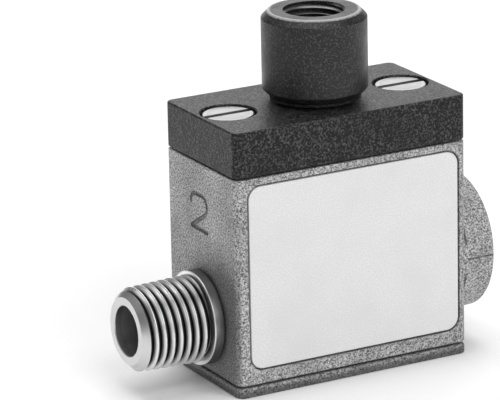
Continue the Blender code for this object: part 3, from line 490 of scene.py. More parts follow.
class Graph:
    """Short calls for building one material's node tree.

    A value is a plain number, a colour or point of three numbers, or a node's output.
    """

    def __init__(self, name: str) -> None:
        """Start a material with a Principled shader.

        Args:
            name: Name of the material.
        """
        self.material = bpy.data.materials.new(name)
        self.material.use_nodes = True
        self.tree = self.material.node_tree
        self.shader = self.tree.nodes["Principled BSDF"]

    def feed(self, inlet: Socket, value: Value) -> None:
        """Link an output to an input, or set a plain value on it.

        Args:
            inlet: The input.
            value: What goes in.
        """
        if isinstance(value, bpy.types.NodeSocket):
            self.tree.links.new(value, inlet)
        elif inlet.type == "RGBA":
            inlet.default_value = (*value, 1.0)
        else:
            inlet.default_value = value

    def node(
        self, kind: str, inputs: dict[int | str, Value], **settings: object
    ) -> bpy.types.Node:
        """Add a node, set its properties and feed its inputs.

        Args:
            kind: Type of the node.
            inputs: Values under the names or the places of the inputs.
            settings: Properties under their names.

        Returns:
            The node.
        """
        node = self.tree.nodes.new(kind)
        for key, setting in settings.items():
            setattr(node, key, setting)
        for place, value in inputs.items():
            self.feed(node.inputs[place], value)
        return node

    def coordinates(self, centre: Point = (0.0, 0.0, 0.0), facing: Facing = Facing.UP) -> Socket:
        """Return object coordinates seen from a centre and along a direction.

        Args:
            centre: The point that becomes zero.
            facing: The direction that becomes the third coordinate.

        Returns:
            The coordinates.
        """
        source = self.node("ShaderNodeTexCoord", {}).outputs["Object"]
        moved = self.node("ShaderNodeVectorMath", {0: source, 1: centre}, operation="SUBTRACT")
        turn = facing.value.inverted().to_euler()
        inputs = {"Vector": moved.outputs[0], "Rotation": turn}
        return self.node("ShaderNodeMapping", inputs, vector_type="POINT").outputs["Vector"]

    def lathe_coordinates(self, where: Socket) -> Socket:
        """Return (distance from the axis, height, 0), which is constant round a turned piece.

        Args:
            where: Coordinates whose third number runs along the axis.

        Returns:
            The coordinates.
        """
        across, along, height = self.parts(where)
        flat = self.node("ShaderNodeCombineXYZ", {0: across, 1: along}).outputs[0]
        length = self.node("ShaderNodeVectorMath", {0: flat}, operation="LENGTH")
        return self.node("ShaderNodeCombineXYZ", {0: length.outputs["Value"], 1: height}).outputs[0]

    def parts(self, vector: Socket) -> tuple[Socket, ...]:
        """Return a vector's three numbers."""
        return tuple(self.node("ShaderNodeSeparateXYZ", {0: vector}).outputs)

    def noise(self, where: Socket, size: float, detail: float, rough: float) -> Socket:
        """Return fractal noise.

        Args:
            where: The coordinates.
            size: Size of the largest features.
            detail: Number of finer layers.
            rough: Strength of each layer as a share of the one before.

        Returns:
            The noise, from about 0.3 to 0.7.
        """
        inputs = {"Vector": where, "Scale": 1.0 / size, "Detail": detail, "Roughness": rough}
        return self.node("ShaderNodeTexNoise", inputs).outputs["Fac"]

    def cells(self, where: Socket, size: float) -> Socket:
        """Return the distance to the nearest of scattered points, in shares of their spacing."""
        inputs = {"Vector": where, "Scale": 1.0 / size}
        return self.node("ShaderNodeTexVoronoi", inputs).outputs["Distance"]

    def remap(
        self, value: Value, old: tuple[float, float], new: tuple[float, float]
    ) -> Socket:
        """Carry a value from one range to another, held at its ends.

        Args:
            value: The value.
            old: The range it comes from.
            new: The range it goes to.

        Returns:
            The new value.
        """
        limits = dict(zip(("From Min", "From Max", "To Min", "To Max"), (*old, *new)))
        return self.node("ShaderNodeMapRange", {"Value": value, **limits}).outputs["Result"]

    def blend(self, share: Socket, first: Value, second: Value) -> Socket:
        """Mix two colours: the first times (1 - share) plus the second times share.

        Args:
            share: Share of the second colour.
            first: The first colour.
            second: The second colour.

        Returns:
            The mixed colour.
        """
        node = self.node("ShaderNodeMix", {0: share}, data_type="RGBA")
        inlets = [socket for socket in node.inputs if socket.type == "RGBA"]
        for inlet, colour in zip(inlets, (first, second)):
            self.feed(inlet, colour)
        return next(socket for socket in node.outputs if socket.type == "RGBA")

    def between(self, share: Socket, first: Value, second: Value) -> Socket:
        """Mix two numbers by the share of the second."""
        return self.node("ShaderNodeMix", {0: share, 2: first, 3: second}).outputs[0]

    def math(self, operation: str, *values: Value) -> Socket:
        """Work out one step of arithmetic, named as the Math node names it."""
        return self.node("ShaderNodeMath", dict(enumerate(values)), operation=operation).outputs[0]

    def least(self, *values: Socket) -> Socket:
        """Return the smallest of several values."""
        return reduce(lambda first, second: self.math("MINIMUM", first, second), values)

    def reach(self, where: Socket, centre: Point) -> Socket:
        """Return the distance of the coordinates from a centre."""
        inputs = {0: where, 1: centre}
        return self.node("ShaderNodeVectorMath", inputs, operation="DISTANCE").outputs["Value"]


@dataclass(frozen=True)
class Skin:
    """What a surface looks like."""

    colour: Value  # Base colour
    rough: Value  # Roughness
    height: Value  # Height of the relief, as a share of the finish's own relief
    metal: Value  # Share of metal


@dataclass(frozen=True)
class Finish:
    """A procedural material in a light and a dark tone."""

    name: str  # Name of the material
    light: Colour  # Colour of the high spots
    dark: Colour  # Colour of the hollows
    roughness: float = 0.5  # Middle roughness
    relief: float = 0.012 * MM  # Depth of the relief
    specular: float = 0.5  # Strength of the reflection
    cloud_size: float = 30.0  # Size of the clouds, in grains or rings
    cloud_shade: float = 0.5  # How dark the clouds are

    def skin(self, graph: Graph) -> Skin:
        """Return the look of the surface. Each kind has its own."""
        raise NotImplementedError

    def worked(self, graph: Graph, where: Socket, skin: Skin) -> Skin:
        """Return the skin as it is. Kinds with machined places, painted shade or a painted highlight
        change it.
        """
        return skin

    def make(self) -> bpy.types.Material:
        """Build the material.

        Returns:
            The material with its node tree.
        """
        graph = Graph(self.name)
        skin = self.skin(graph)
        inputs = {"Height": skin.height, "Distance": self.relief, "Strength": 1.0}
        values = {
            "Base Color": skin.colour,
            "Roughness": skin.rough,
            "Metallic": skin.metal,
            "Specular IOR Level": self.specular,
            "Normal": graph.node("ShaderNodeBump", inputs).outputs["Normal"],
        }
        for name, value in values.items():
            graph.feed(graph.shader.inputs[name], value)
        return graph.material


@dataclass(frozen=True)
class BlastedMetal(Finish):
    """Cast metal with a finely blasted skin: even grain, faint clouds and small pits."""

    relief: float = 0.025 * MM
    metallic: float = 0.4  # Share of metal
    grain: float = 0.27 * MM  # Size of the blasting grain
    # Values of the grain that give the dark and the light colour
    spread: tuple[float, float] = (0.34, 0.66)
    cloud_size: float = 24.0
    cloud_shade: float = 0.3
    pit_spacing: float = 3.2  # Distance between pits, in grains
    pit_shade: float = 0.4  # How dark the pits are
    pit_depth: float = 0.6  # Depth of the pits, as a share of the relief

    def skin(self, graph: Graph) -> Skin:
        """Lay clouds and pits over the grain.

        Args:
            graph: The material's graph.

        Returns:
            The look of the blasted skin, with its worked places.
        """
        where = graph.coordinates()
        grain = graph.noise(where, self.grain, 2.0, 0.6)
        clouds = graph.noise(where, self.cloud_size * self.grain, 4.0, 0.6)
        pits = graph.remap(graph.cells(where, self.pit_spacing * self.grain), (0.05, 0.17), FALL)
        base = graph.blend(graph.remap(grain, self.spread, RISE), self.dark, self.light)
        cloudy = graph.remap(clouds, (0.35, 0.7), (0.0, self.cloud_shade))
        pitted = graph.remap(pits, RISE, (0.0, self.pit_shade))
        colour = graph.blend(pitted, graph.blend(cloudy, base, self.dark), self.dark)
        rough = graph.remap(clouds, (0.3, 0.7), (self.roughness - 0.06, self.roughness + 0.08))
        height = graph.math("MULTIPLY_ADD", pits, -self.pit_depth, grain)
        return self.worked(graph, where, Skin(colour, rough, height, self.metallic))


@dataclass(frozen=True)
class CastBlockSkin(BlastedMetal):
    """The casting's skin with its machined port and its painted shade and shadow."""

    block: ValveBlock | None = None  # The block, whose sizes it reads
    # Distances from the middle between which the painted shade along the boss's root fades
    crease_end: tuple[float, float] = (10.3 * MM, 10.6 * MM)
    fitting: Point = (0.0, 0.0, 0.0)  # Middle of the painted shadow round the male thread
    # Distances, with the noise added, where the painted shadow round the male thread is strongest and
    # ends
    nipple_shadow: tuple[float, float] = (9.5 * MM, 15.5 * MM)
    number_reach: float = 4.2 * MM  # Distance from its middle that holds the whole number
    # Distances from the parting line between which its painted shade fades
    line_width: tuple[float, float] = (0.1 * MM, 0.18 * MM)

    def worked(self, graph: Graph, where: Socket, skin: Skin) -> Skin:
        """Add the painted shade and the turned faces of the port.

        Args:
            graph: The material's graph.
            where: The material's coordinates.
            skin: The blasted skin.

        Returns:
            The finished skin.
        """
        colour = skin.colour
        # Painted shade: each mask darkens the colour towards the dark tone.
        for painted_shade in self.painted_shade(graph, where):
            colour = graph.blend(painted_shade, colour, self.dark)
        mouth, depth = self.block.port_radius + self.block.port_mouth, self.block.port_depth
        port = (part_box("valve_block")[1].x, 0.0, self.block.port_place()[2])
        lathe = graph.lathe_coordinates(graph.coordinates(port, Facing.RIGHT))
        radius, height, _ = graph.parts(lathe)
        near_axis = graph.remap(radius, (mouth + 0.02 * MM, mouth + 0.08 * MM), FALL)
        over_floor = graph.remap(height, (-depth - 0.3 * MM, -depth - 0.2 * MM), RISE)
        on_face = graph.remap(height, (-0.06 * MM, -0.02 * MM), RISE)
        in_hole = graph.least(near_axis, over_floor)
        machined = graph.remap(graph.math("ADD", in_hole, on_face), RISE, RISE)
        rings = graph.noise(lathe, 0.14 * MM, 3.0, 0.7)
        bright = graph.blend(graph.remap(rings, (0.3, 0.7), RISE), MACHINED_DARK, MACHINED_LIGHT)
        return Skin(
            graph.blend(machined, colour, bright),
            graph.between(machined, skin.rough, MACHINED_ROUGHNESS),
            graph.between(machined, skin.height, graph.remap(rings, RISE, (0.0, 0.3))),
            graph.between(machined, skin.metal, MACHINED_METAL),
        )

    def painted_shade(self, graph: Graph, where: Socket) -> list[Socket]:
        """Work out where shade is painted on the block.

        It is a painted shadow round the male thread, by the distance broken up by noise, and
        painted shade in the engraved number, by the depth under the face, along the boss's root
        away from the boss's widest line, and in the mould's line, by the distance from its level.

        Args:
            graph: The material's graph.
            where: The material's coordinates.

        Returns:
            Strength of the painted shade at each of these places.
        """
        across, along, height = graph.parts(where)
        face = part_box("valve_block")[0].x
        on_face = graph.remap(across, (face + 0.1 * MM, face + 0.7 * MM), FALL)
        # Painted shadow of the male thread on the left-hand face.
        uneven = graph.noise(where, 2.5 * MM, 3.0, 0.6)
        spread = graph.math("MULTIPLY_ADD", uneven, 3.0 * MM, graph.reach(where, self.fitting))
        nipple_shadow = graph.least(on_face, graph.remap(spread, self.nipple_shadow, (0.58, 0.0)))

        # Painted shade in the engraved number, deeper than the face.
        below = graph.remap(across, (face + 0.02 * MM, face + 0.12 * MM), (0.0, 0.55))
        middle, base = self.block.number_place
        centre = (face, middle, base + self.block.number_height / 2)
        limits = (self.number_reach, self.number_reach + 0.1 * MM)
        number = graph.least(below, graph.remap(graph.reach(where, centre), limits, FALL))

        # Painted shade in the crease along the boss's root.
        root, _, level = self.block.port_place()
        past = graph.remap(across, (root - 0.02 * MM, root + 0.02 * MM), (0.0, 0.9))
        short_of = graph.remap(across, (root + 0.28 * MM, root + 0.45 * MM), FALL)
        inward = graph.remap(graph.math("ABSOLUTE", along), self.crease_end, FALL)
        crease = graph.least(past, short_of, inward)

        # Painted shade in the parting line's groove.
        past = graph.remap(across, (root + 0.3 * MM, root + 0.5 * MM), (0.0, 0.65))
        away = graph.math("ABSOLUTE", graph.math("SUBTRACT", height, level))
        line = graph.least(past, graph.remap(away, self.line_width, FALL))
        return [nipple_shadow, number, crease, line]


@dataclass(frozen=True)
class PlateSkin(BlastedMetal):
    """The bottom plate's skin, darker towards the bottom of its sides as painted shade."""

    # Levels, with the noise added, where the painted shade is strongest and ends
    shade_levels: tuple[float, float] = (0.95 * MM, 1.6 * MM)
    strength: float = 0.62  # Strength of the painted shade

    def worked(self, graph: Graph, where: Socket, skin: Skin) -> Skin:
        """Add the painted shade, darker towards the bottom, from the height broken up by noise.

        Args:
            graph: The material's graph.
            where: The material's coordinates.
            skin: The blasted skin.

        Returns:
            The soiled skin.
        """
        noise = graph.noise(where, 0.5 * MM, 2.0, 0.6)
        uneven = graph.math("MULTIPLY_ADD", noise, 0.5 * MM, graph.parts(where)[2])
        # Painted shade: the colour darkens towards the bottom.
        share = graph.remap(uneven, self.shade_levels, (self.strength, 0.0))
        return replace(skin, colour=graph.blend(share, skin.colour, self.dark))


@dataclass(frozen=True)
class TurnedFinish(Finish):
    """Surface left by a lathe tool: fine rings round the axis over faint clouds."""

    roughness: float = 0.3
    relief: float = 0.004 * MM
    centre: Point = (0.0, 0.0, 0.0)  # A point on the axis
    facing: Facing = Facing.UP  # Direction of the axis
    metallic: float = 1.0  # Share of metal
    ring: float = 0.12 * MM  # Width of the rings
    cloud_size: float = 28.0
    cloud_shade: float = 0.35

    def skin(self, graph: Graph) -> Skin:
        """Lay clouds over rings, which are noise of the distance from the axis and the height.

        Args:
            graph: The material's graph.

        Returns:
            The look of the turned surface, with its worked places.
        """
        where = graph.coordinates(self.centre, self.facing)
        lathe = graph.lathe_coordinates(where)
        rings = graph.noise(lathe, self.ring, 3.0, 0.7)
        clouds = graph.noise(where, self.cloud_size * self.ring, 4.0, 0.6)
        tone = graph.blend(graph.remap(rings, (0.3, 0.7), RISE), self.dark, self.light)
        cloudy = graph.remap(clouds, (0.4, 0.75), (0.0, self.cloud_shade))
        rough = graph.remap(clouds, (0.3, 0.7), (self.roughness - 0.05, self.roughness + 0.1))
        colour = graph.blend(cloudy, tone, self.dark)
        return self.worked(graph, lathe, Skin(colour, rough, rings, self.metallic))


@dataclass(frozen=True)
class ThreadedFinish(TurnedFinish):
    """Turned metal with painted shade in the thread's grooves, a darker collar, a dull tip and a clean
    bore.
    """

    groove_shade: Colour = (0.02, 0.02, 0.02)  # Colour of the painted shade in the grooves
    collar_colour: Colour = (0.3, 0.3, 0.3)  # Darker colour of the collar
    tip_colour: Colour = (0.62, 0.62, 0.62)  # Colour of the dull tip
    nipple: MaleThread | None = None  # The nipple, whose sizes it reads

    def worked(self, graph: Graph, where: Socket, skin: Skin) -> Skin:
        """Darken the grooves, as painted shade, by their depth under the thread's crests.

        Args:
            graph: The material's graph.
            where: Distance from the axis and height.
            skin: The clean metal.

        Returns:
            The stained skin.
        """
        radius, height, _ = graph.parts(where)
        crest, bore, tip = self.nipple.tip_radius, self.nipple.bore, self.nipple.tip_chamfer
        end, collar_end = self.nipple.end(), self.nipple.collar_span()[1]
        crest_level, depth = crest + TAPER * end, QUARTER_THREAD[1]
        deep = (crest_level - 0.8 * depth, crest_level - 0.3 * depth)
        groove = graph.remap(graph.math("MULTIPLY_ADD", height, TAPER, radius), deep, FALL)
        chamfer_level = crest - tip + end
        behind = (chamfer_level - 0.3 * MM, chamfer_level - 0.06 * MM)
        under_chamfer = graph.remap(graph.math("ADD", height, radius), behind, FALL)
        inside = graph.remap(height, (end - 0.12 * MM, end - 0.02 * MM), FALL)
        outside = graph.remap(radius, (bore + 0.3 * MM, bore + 0.6 * MM), RISE)
        past_collar = (collar_end + 0.02 * MM, collar_end + 0.08 * MM)
        on_thread = graph.remap(height, past_collar, RISE)
        # Painted shade in the thread's grooves, kept off the chamfer, the end face, the bore and the
        # collar.
        painted_shade = graph.least(groove, under_chamfer, inside, outside, on_thread)
        # The collar turns to a darker colour.
        collar = graph.remap(height, (collar_end - 0.2 * MM, collar_end - 0.08 * MM), FALL)
        on_tip = graph.remap(height, (end - tip, end - 0.9 * tip), RISE)
        colour = graph.blend(collar, skin.colour, self.collar_colour)
        colour = graph.blend(on_tip, colour, self.tip_colour)
        return replace(skin, colour=graph.blend(painted_shade, colour, self.groove_shade))


@dataclass(frozen=True)
class CoatedTurning(TurnedFinish):
    """Black coat over turned metal with a painted highlight on its top edge; the bore is bare, darkened
    as painted shade.
    """

    metallic: float = 0.0  # Share of metal in the coat
    bore: float = 4.6 * MM  # Radius inside which the metal is bare
    rim: float = 0.0  # Radius of the top face's outer edge, where the highlight is painted
    top: float = 0.0  # Level of the coated top face
    specks: Colour = (0.075, 0.075, 0.076)  # Colour of the coat's lighter specks
    edge_highlight: Colour = (0.42, 0.42, 0.42)  # Colour of the painted highlight on that edge
    # Distances from the edge between which the painted highlight fades
    highlight_fade: tuple[float, float] = (0.38 * MM, 0.66 * MM)

    def worked(self, graph: Graph, where: Socket, skin: Skin) -> Skin:
        """Show the bare bore, darkened as painted shade, and a painted highlight on the top edge.

        Args:
            graph: The material's graph.
            where: Distance from the axis and height.
            skin: The coat.

        Returns:
            The look of coat and metal.
        """
        radius, height, _ = graph.parts(where)
        inside = graph.remap(radius, (self.bore, self.bore + 0.1 * MM), FALL)
        below = graph.remap(height, (self.top - 0.2 * MM, self.top - 0.1 * MM), FALL)
        bare = graph.least(inside, below)
        grain = graph.noise(graph.coordinates(self.centre, self.facing), 0.3 * MM, 2.0, 0.5)
        coat = graph.blend(graph.remap(grain, (0.5, 0.74), RISE), skin.colour, self.specks)
        # Painted highlight: a lighter band along the top face's outer edge.
        from_rim = graph.reach(where, (self.rim, self.top, 0.0))
        uneven = graph.math("MULTIPLY_ADD", grain, 0.5 * MM, from_rim)
        coat = graph.blend(graph.remap(uneven, self.highlight_fade, (0.9, 0.0)), coat, self.edge_highlight)
        # Bare metal in the bore, its colour darkened as painted shade.
        return replace(skin, colour=graph.blend(bare, coat, SHADED_BORE_METAL), metal=bare)


@dataclass(frozen=True)
class GrainedCoat(Finish):
    """Coat of paint, plastic or rubber over the whole piece, with a fine even grain."""

    grain: float = 0.22 * MM  # Size of the grain
    # Values of the grain that give the dark and the light colour
    spread: tuple[float, float] = (0.35, 0.65)

    def skin(self, graph: Graph) -> Skin:
        """Lay faint clouds over the grain.

        Args:
            graph: The material's graph.

        Returns:
            The look of the coat.
        """
        where = graph.coordinates()
        grain = graph.noise(where, self.grain, 2.0, 0.5)
        clouds = graph.noise(where, self.cloud_size * self.grain, 3.0, 0.6)
        tone = graph.blend(graph.remap(grain, self.spread, RISE), self.dark, self.light)
        cloudy = graph.remap(clouds, (0.4, 0.7), (0.0, self.cloud_shade))
        rough = graph.remap(grain, (0.3, 0.7), (self.roughness + 0.06, self.roughness - 0.06))
        return Skin(graph.blend(cloudy, tone, self.dark), rough, grain, 0.0)


def fit_out(
    piece: Piece,
    material: bpy.types.Material,
    node: str,
    body: Body = Body.VALVE,
) -> Piece:
    """Give a finished piece its material, its smooth shading and its body, and hide its frame node.

    Args:
        piece: The piece, in place.
        material: Its material.
        node: Frame node that it replaces.
        body: The body that it rides on.

    Returns:
        The same piece.
    """
    piece.data.materials.clear()
    piece.data.materials.append(material)
    smoothed(piece)
    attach(piece, body.value)
    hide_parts(node)
    log.info("%s: %d faces, rides on %s", piece.name, len(piece.data.polygons), body.value)
    return piece


def middle_of(node: str, level: float = 0.0) -> Point:
    """Return the point at a level on the upright middle line of a frame node."""
    low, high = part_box(node)
    return ((low.x + high.x) / 2, (low.y + high.y) / 2, level)


@dataclass(frozen=True)
class Hole:
    """A plain round hole, turned from its own profile."""

    origin: Point  # Centre of the hole's mouth
    facing: Facing  # Direction out of the mouth
    steps: tuple[tuple[float, float], ...]  # Radius and depth of each step, from the mouth inwards
    flare: float = 0.0  # Width of the chamfer round the mouth

    def tool(self, name: str, segments: int = SMALL_ROUND) -> Piece:
        """Build the closed tool that cuts the hole.

        Args:
            name: Name of the tool.
            segments: Number of points round it.

        Returns:
            The tool.
        """
        radius = self.steps[0][0]
        corners = [(0.0, CUT_MARGIN), (radius + self.flare, CUT_MARGIN), (radius + self.flare, 0.0)]
        if self.flare:
            corners.append((radius, -self.flare))
        depth = 0.0
        for number, (radius, reach) in enumerate(self.steps):
            if number:
                corners.append((radius, -depth))
            depth = reach
            corners.append((radius, -depth))
        corners.append((0.0, -depth))
        return turned(np.array(corners), segments).stood(self.facing, self.origin).piece(name)


@dataclass
class NamePlate:
    """The blank plate in the front face, slightly rounded along its edge."""

    corner: float = 2.0 * MM  # Radius of its corners
    # Radii of the edges round its front and its back
    rims: tuple[float, float] = (0.12 * MM, 0.05 * MM)

    def build(self) -> Piece:
        """Build the plate's slab."""
        low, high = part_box("name_plate")
        return slab(low, high, self.corner, self.rims, Facing.BACK).piece("name_plate_blank")

    def dress(self, piece: Piece) -> None:
        """Finish the plate and let it stand for its frame node.

        Args:
            piece: The plate.
        """
        light, dark = (0.81, 0.81, 0.81), (0.68, 0.68, 0.68)
        coat = GrainedCoat("white_name_plate", light, dark, roughness=0.45, relief=0.004 * MM)
        fit_out(piece, coat.make(), "name_plate")


@dataclass
class MaleThread:
    """The plated nipple with its taper thread and collar."""

    tip_chamfer: float = 1.2 * MM  # Width of the chamfer at the end
    tip_radius: float = 6.39 * MM  # Crest radius at the end
    tip_edge: float = 0.08 * MM  # Radius of the end face's outer edge
    gap: float = 0.3 * MM  # Gap between the block and the collar
    collar: float = 1.6 * MM  # Length of the collar
    relief: float = 0.25 * MM  # Length of the groove between collar and thread
    relief_depth: float = 0.9 * MM  # Depth of that groove under the crests
    phase: float = 0.09  # Share of a turn that the thread has gone at its start
    bore: float = 3.85 * MM  # Radius of the bore
    shank: float = 5.2 * MM  # Radius of the shank in the block
    edge: float = 0.15 * MM  # Radius of the small fillets

    def end(self) -> float:
        """Return the level of the end face along the nipple."""
        return -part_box("threaded_nipple")[0].x

    def collar_span(self) -> tuple[float, float]:
        """Return the levels along the nipple where the collar starts and ends."""
        start = self.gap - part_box("valve_block")[0].x
        return start, start + self.collar

    def build(self) -> Piece:
        """Build the nipple about its own axis and lay it to the left.

        Returns:
            The nipple.
        """
        low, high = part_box("threaded_nipple")
        collar_radius = (high.z - low.z) / 2
        end, shank_end = self.end(), -high.x
        collar_start, collar_end = self.collar_span()
        thread_start = collar_end + self.relief
        root = self.tip_radius + TAPER * (end - thread_start)
        relief_radius = root - self.relief_depth
        shoulder = self.tip_radius + TAPER * self.tip_chamfer
        profile = rounded_profile(
            [
                (self.bore + self.edge, end, 0.0),
                (self.tip_radius - self.tip_chamfer, end, self.tip_edge),
                (shoulder, end - self.tip_chamfer, 0.0),
                (root, thread_start, 0.0),
                (relief_radius, thread_start, 0.0),
                (relief_radius, collar_end, self.edge),
                (collar_radius, collar_end, self.edge),
                (collar_radius, collar_start, self.edge),
                (self.shank, collar_start, 0.0),
                (self.shank, shank_end, self.edge),
                (self.bore, shank_end, self.edge),
                (self.bore, end - self.edge, 0.0),
            ],
            closed=True,
        )
        radius = self.tip_radius
        thread = Thread(QUARTER_THREAD, thread_start, end, radius, TAPER, phase=self.phase)
        surface = turned(profile, ROUND, closed=True, thread=thread)
        level = (low.z + high.z) / 2
        return surface.stood(Facing.LEFT, (0.0, 0.0, level)).piece("male_thread_plated")

    def dress(self, piece: Piece) -> None:
        """Finish the nipple and let it stand for its frame node.

        Args:
            piece: The nipple.
        """
        low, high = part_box("threaded_nipple")
        finish = ThreadedFinish(
            "plated_nipple",
            (0.92, 0.92, 0.92),
            (0.7, 0.7, 0.7),
            centre=(0.0, 0.0, (low.z + high.z) / 2),
            facing=Facing.LEFT,
            nipple=self,
        )
        fit_out(piece, finish.make(), "threaded_nipple")


@dataclass(frozen=True)
class SlottedScrew:
    """A plated screw with a slot across its head."""

    node: str  # Frame node that it stands for
    name: str  # Name of the piece
    head: float  # Height of the head
    rim: float  # Height of the head's upright side, from which it narrows to the shank
    shank: float  # Radius of the shank
    slot: float  # Width and depth of the slot
    tip: float  # Width of the bevel at the shank's end
    face_edge: float  # Radius of the edge round the head's face
    rim_edge: float  # Radius of the edge at the end of its upright side
    up: bool  # Whether the head is the upper end
    turn: float = 0.0  # Angle of the slot from the X axis
    edge: float = 0.1 * MM  # Radius of the other edges
    segments: int = ROUND  # Number of points round it

    def face(self) -> float:
        """Return the level of the head's face."""
        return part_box(self.node)[1 if self.up else 0].z

    def head_radius(self) -> float:
        """Return the radius of the head."""
        low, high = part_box(self.node)
        return (high.x - low.x) / 2

    def thread_hole(self) -> float:
        """Return the radius of the hole that the shank is screwed into."""
        return self.shank + CLEARANCE

    def build(self) -> Piece:
        """Turn the screw from its head's face to its end, cut its slot and finish it.

        Returns:
            The screw.
        """
        low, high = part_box(self.node)
        length, radius = high.z - low.z, self.head_radius()
        corners = [
            (0.0, 0.0, 0.0),
            (radius, 0.0, self.face_edge),
            (radius, self.rim, self.rim_edge),
            (self.shank, self.head, self.edge),
            (self.shank, length - self.tip, self.edge),
            (self.shank - self.tip, length, self.edge),
            (0.0, length, 0.0),
        ]
        profile = rounded_profile(corners) * (1.0, -1.0 if self.up else 1.0)
        place = middle_of(self.node, self.face())
        screw = turned(profile, self.segments).stood(Facing.UP, place).piece(self.name)
        half = Vector((2 * radius, self.slot / 2, self.slot))
        slot = slab(-half, half, SLOT_CORNER, SHARP_RIMS).piece("slot")
        slot.data.transform(Matrix.Translation(place) @ Matrix.Rotation(self.turn, 4, "Z"))
        finish = TurnedFinish(
            "plated_" + self.node,
            (0.66, 0.66, 0.66),
            (0.3, 0.3, 0.3),
            roughness=0.32,
            relief=0.012 * MM,
            centre=middle_of(self.node),
            ring=0.28 * MM,
        )
        return fit_out(carved(screw, [slot]), finish.make(), self.node)


def bottom_screw(number: int) -> SlottedScrew:
    """Describe one countersunk screw of the bottom plate.

    Args:
        number: Its number, by which its slot is turned too.

    Returns:
        The screw.
    """
    return SlottedScrew(
        f"bottom_screw_{number}",
        f"bottom_screw_slotted_{number}",
        head=1.1 * MM,
        rim=0.08 * MM,
        shank=1.25 * MM,
        slot=0.6 * MM,
        tip=0.3 * MM,
        face_edge=0.05 * MM,
        rim_edge=0.05 * MM,
        up=False,
        turn=number * math.radians(35.0),
        segments=SMALL_ROUND,
    )


def cover_screw(side: str) -> SlottedScrew:
    """Describe one cheese-head screw of the cover.

    Args:
        side: The word for its side in its frame node's name.

    Returns:
        The screw.
    """
    return SlottedScrew(
        f"cover_screw_{side}",
        f"cover_screw_{side}_slotted",
        head=2.6 * MM,
        rim=2.6 * MM,
        shank=2.0 * MM,
        slot=1.2 * MM,
        tip=0.5 * MM,
        face_edge=0.35 * MM,
        rim_edge=0.1 * MM,
        up=True,
    )


BOTTOM_SCREWS = tuple(bottom_screw(number) for number in range(1, 5))
COVER_SCREWS = tuple(cover_screw(side) for side in ("left", "right"))


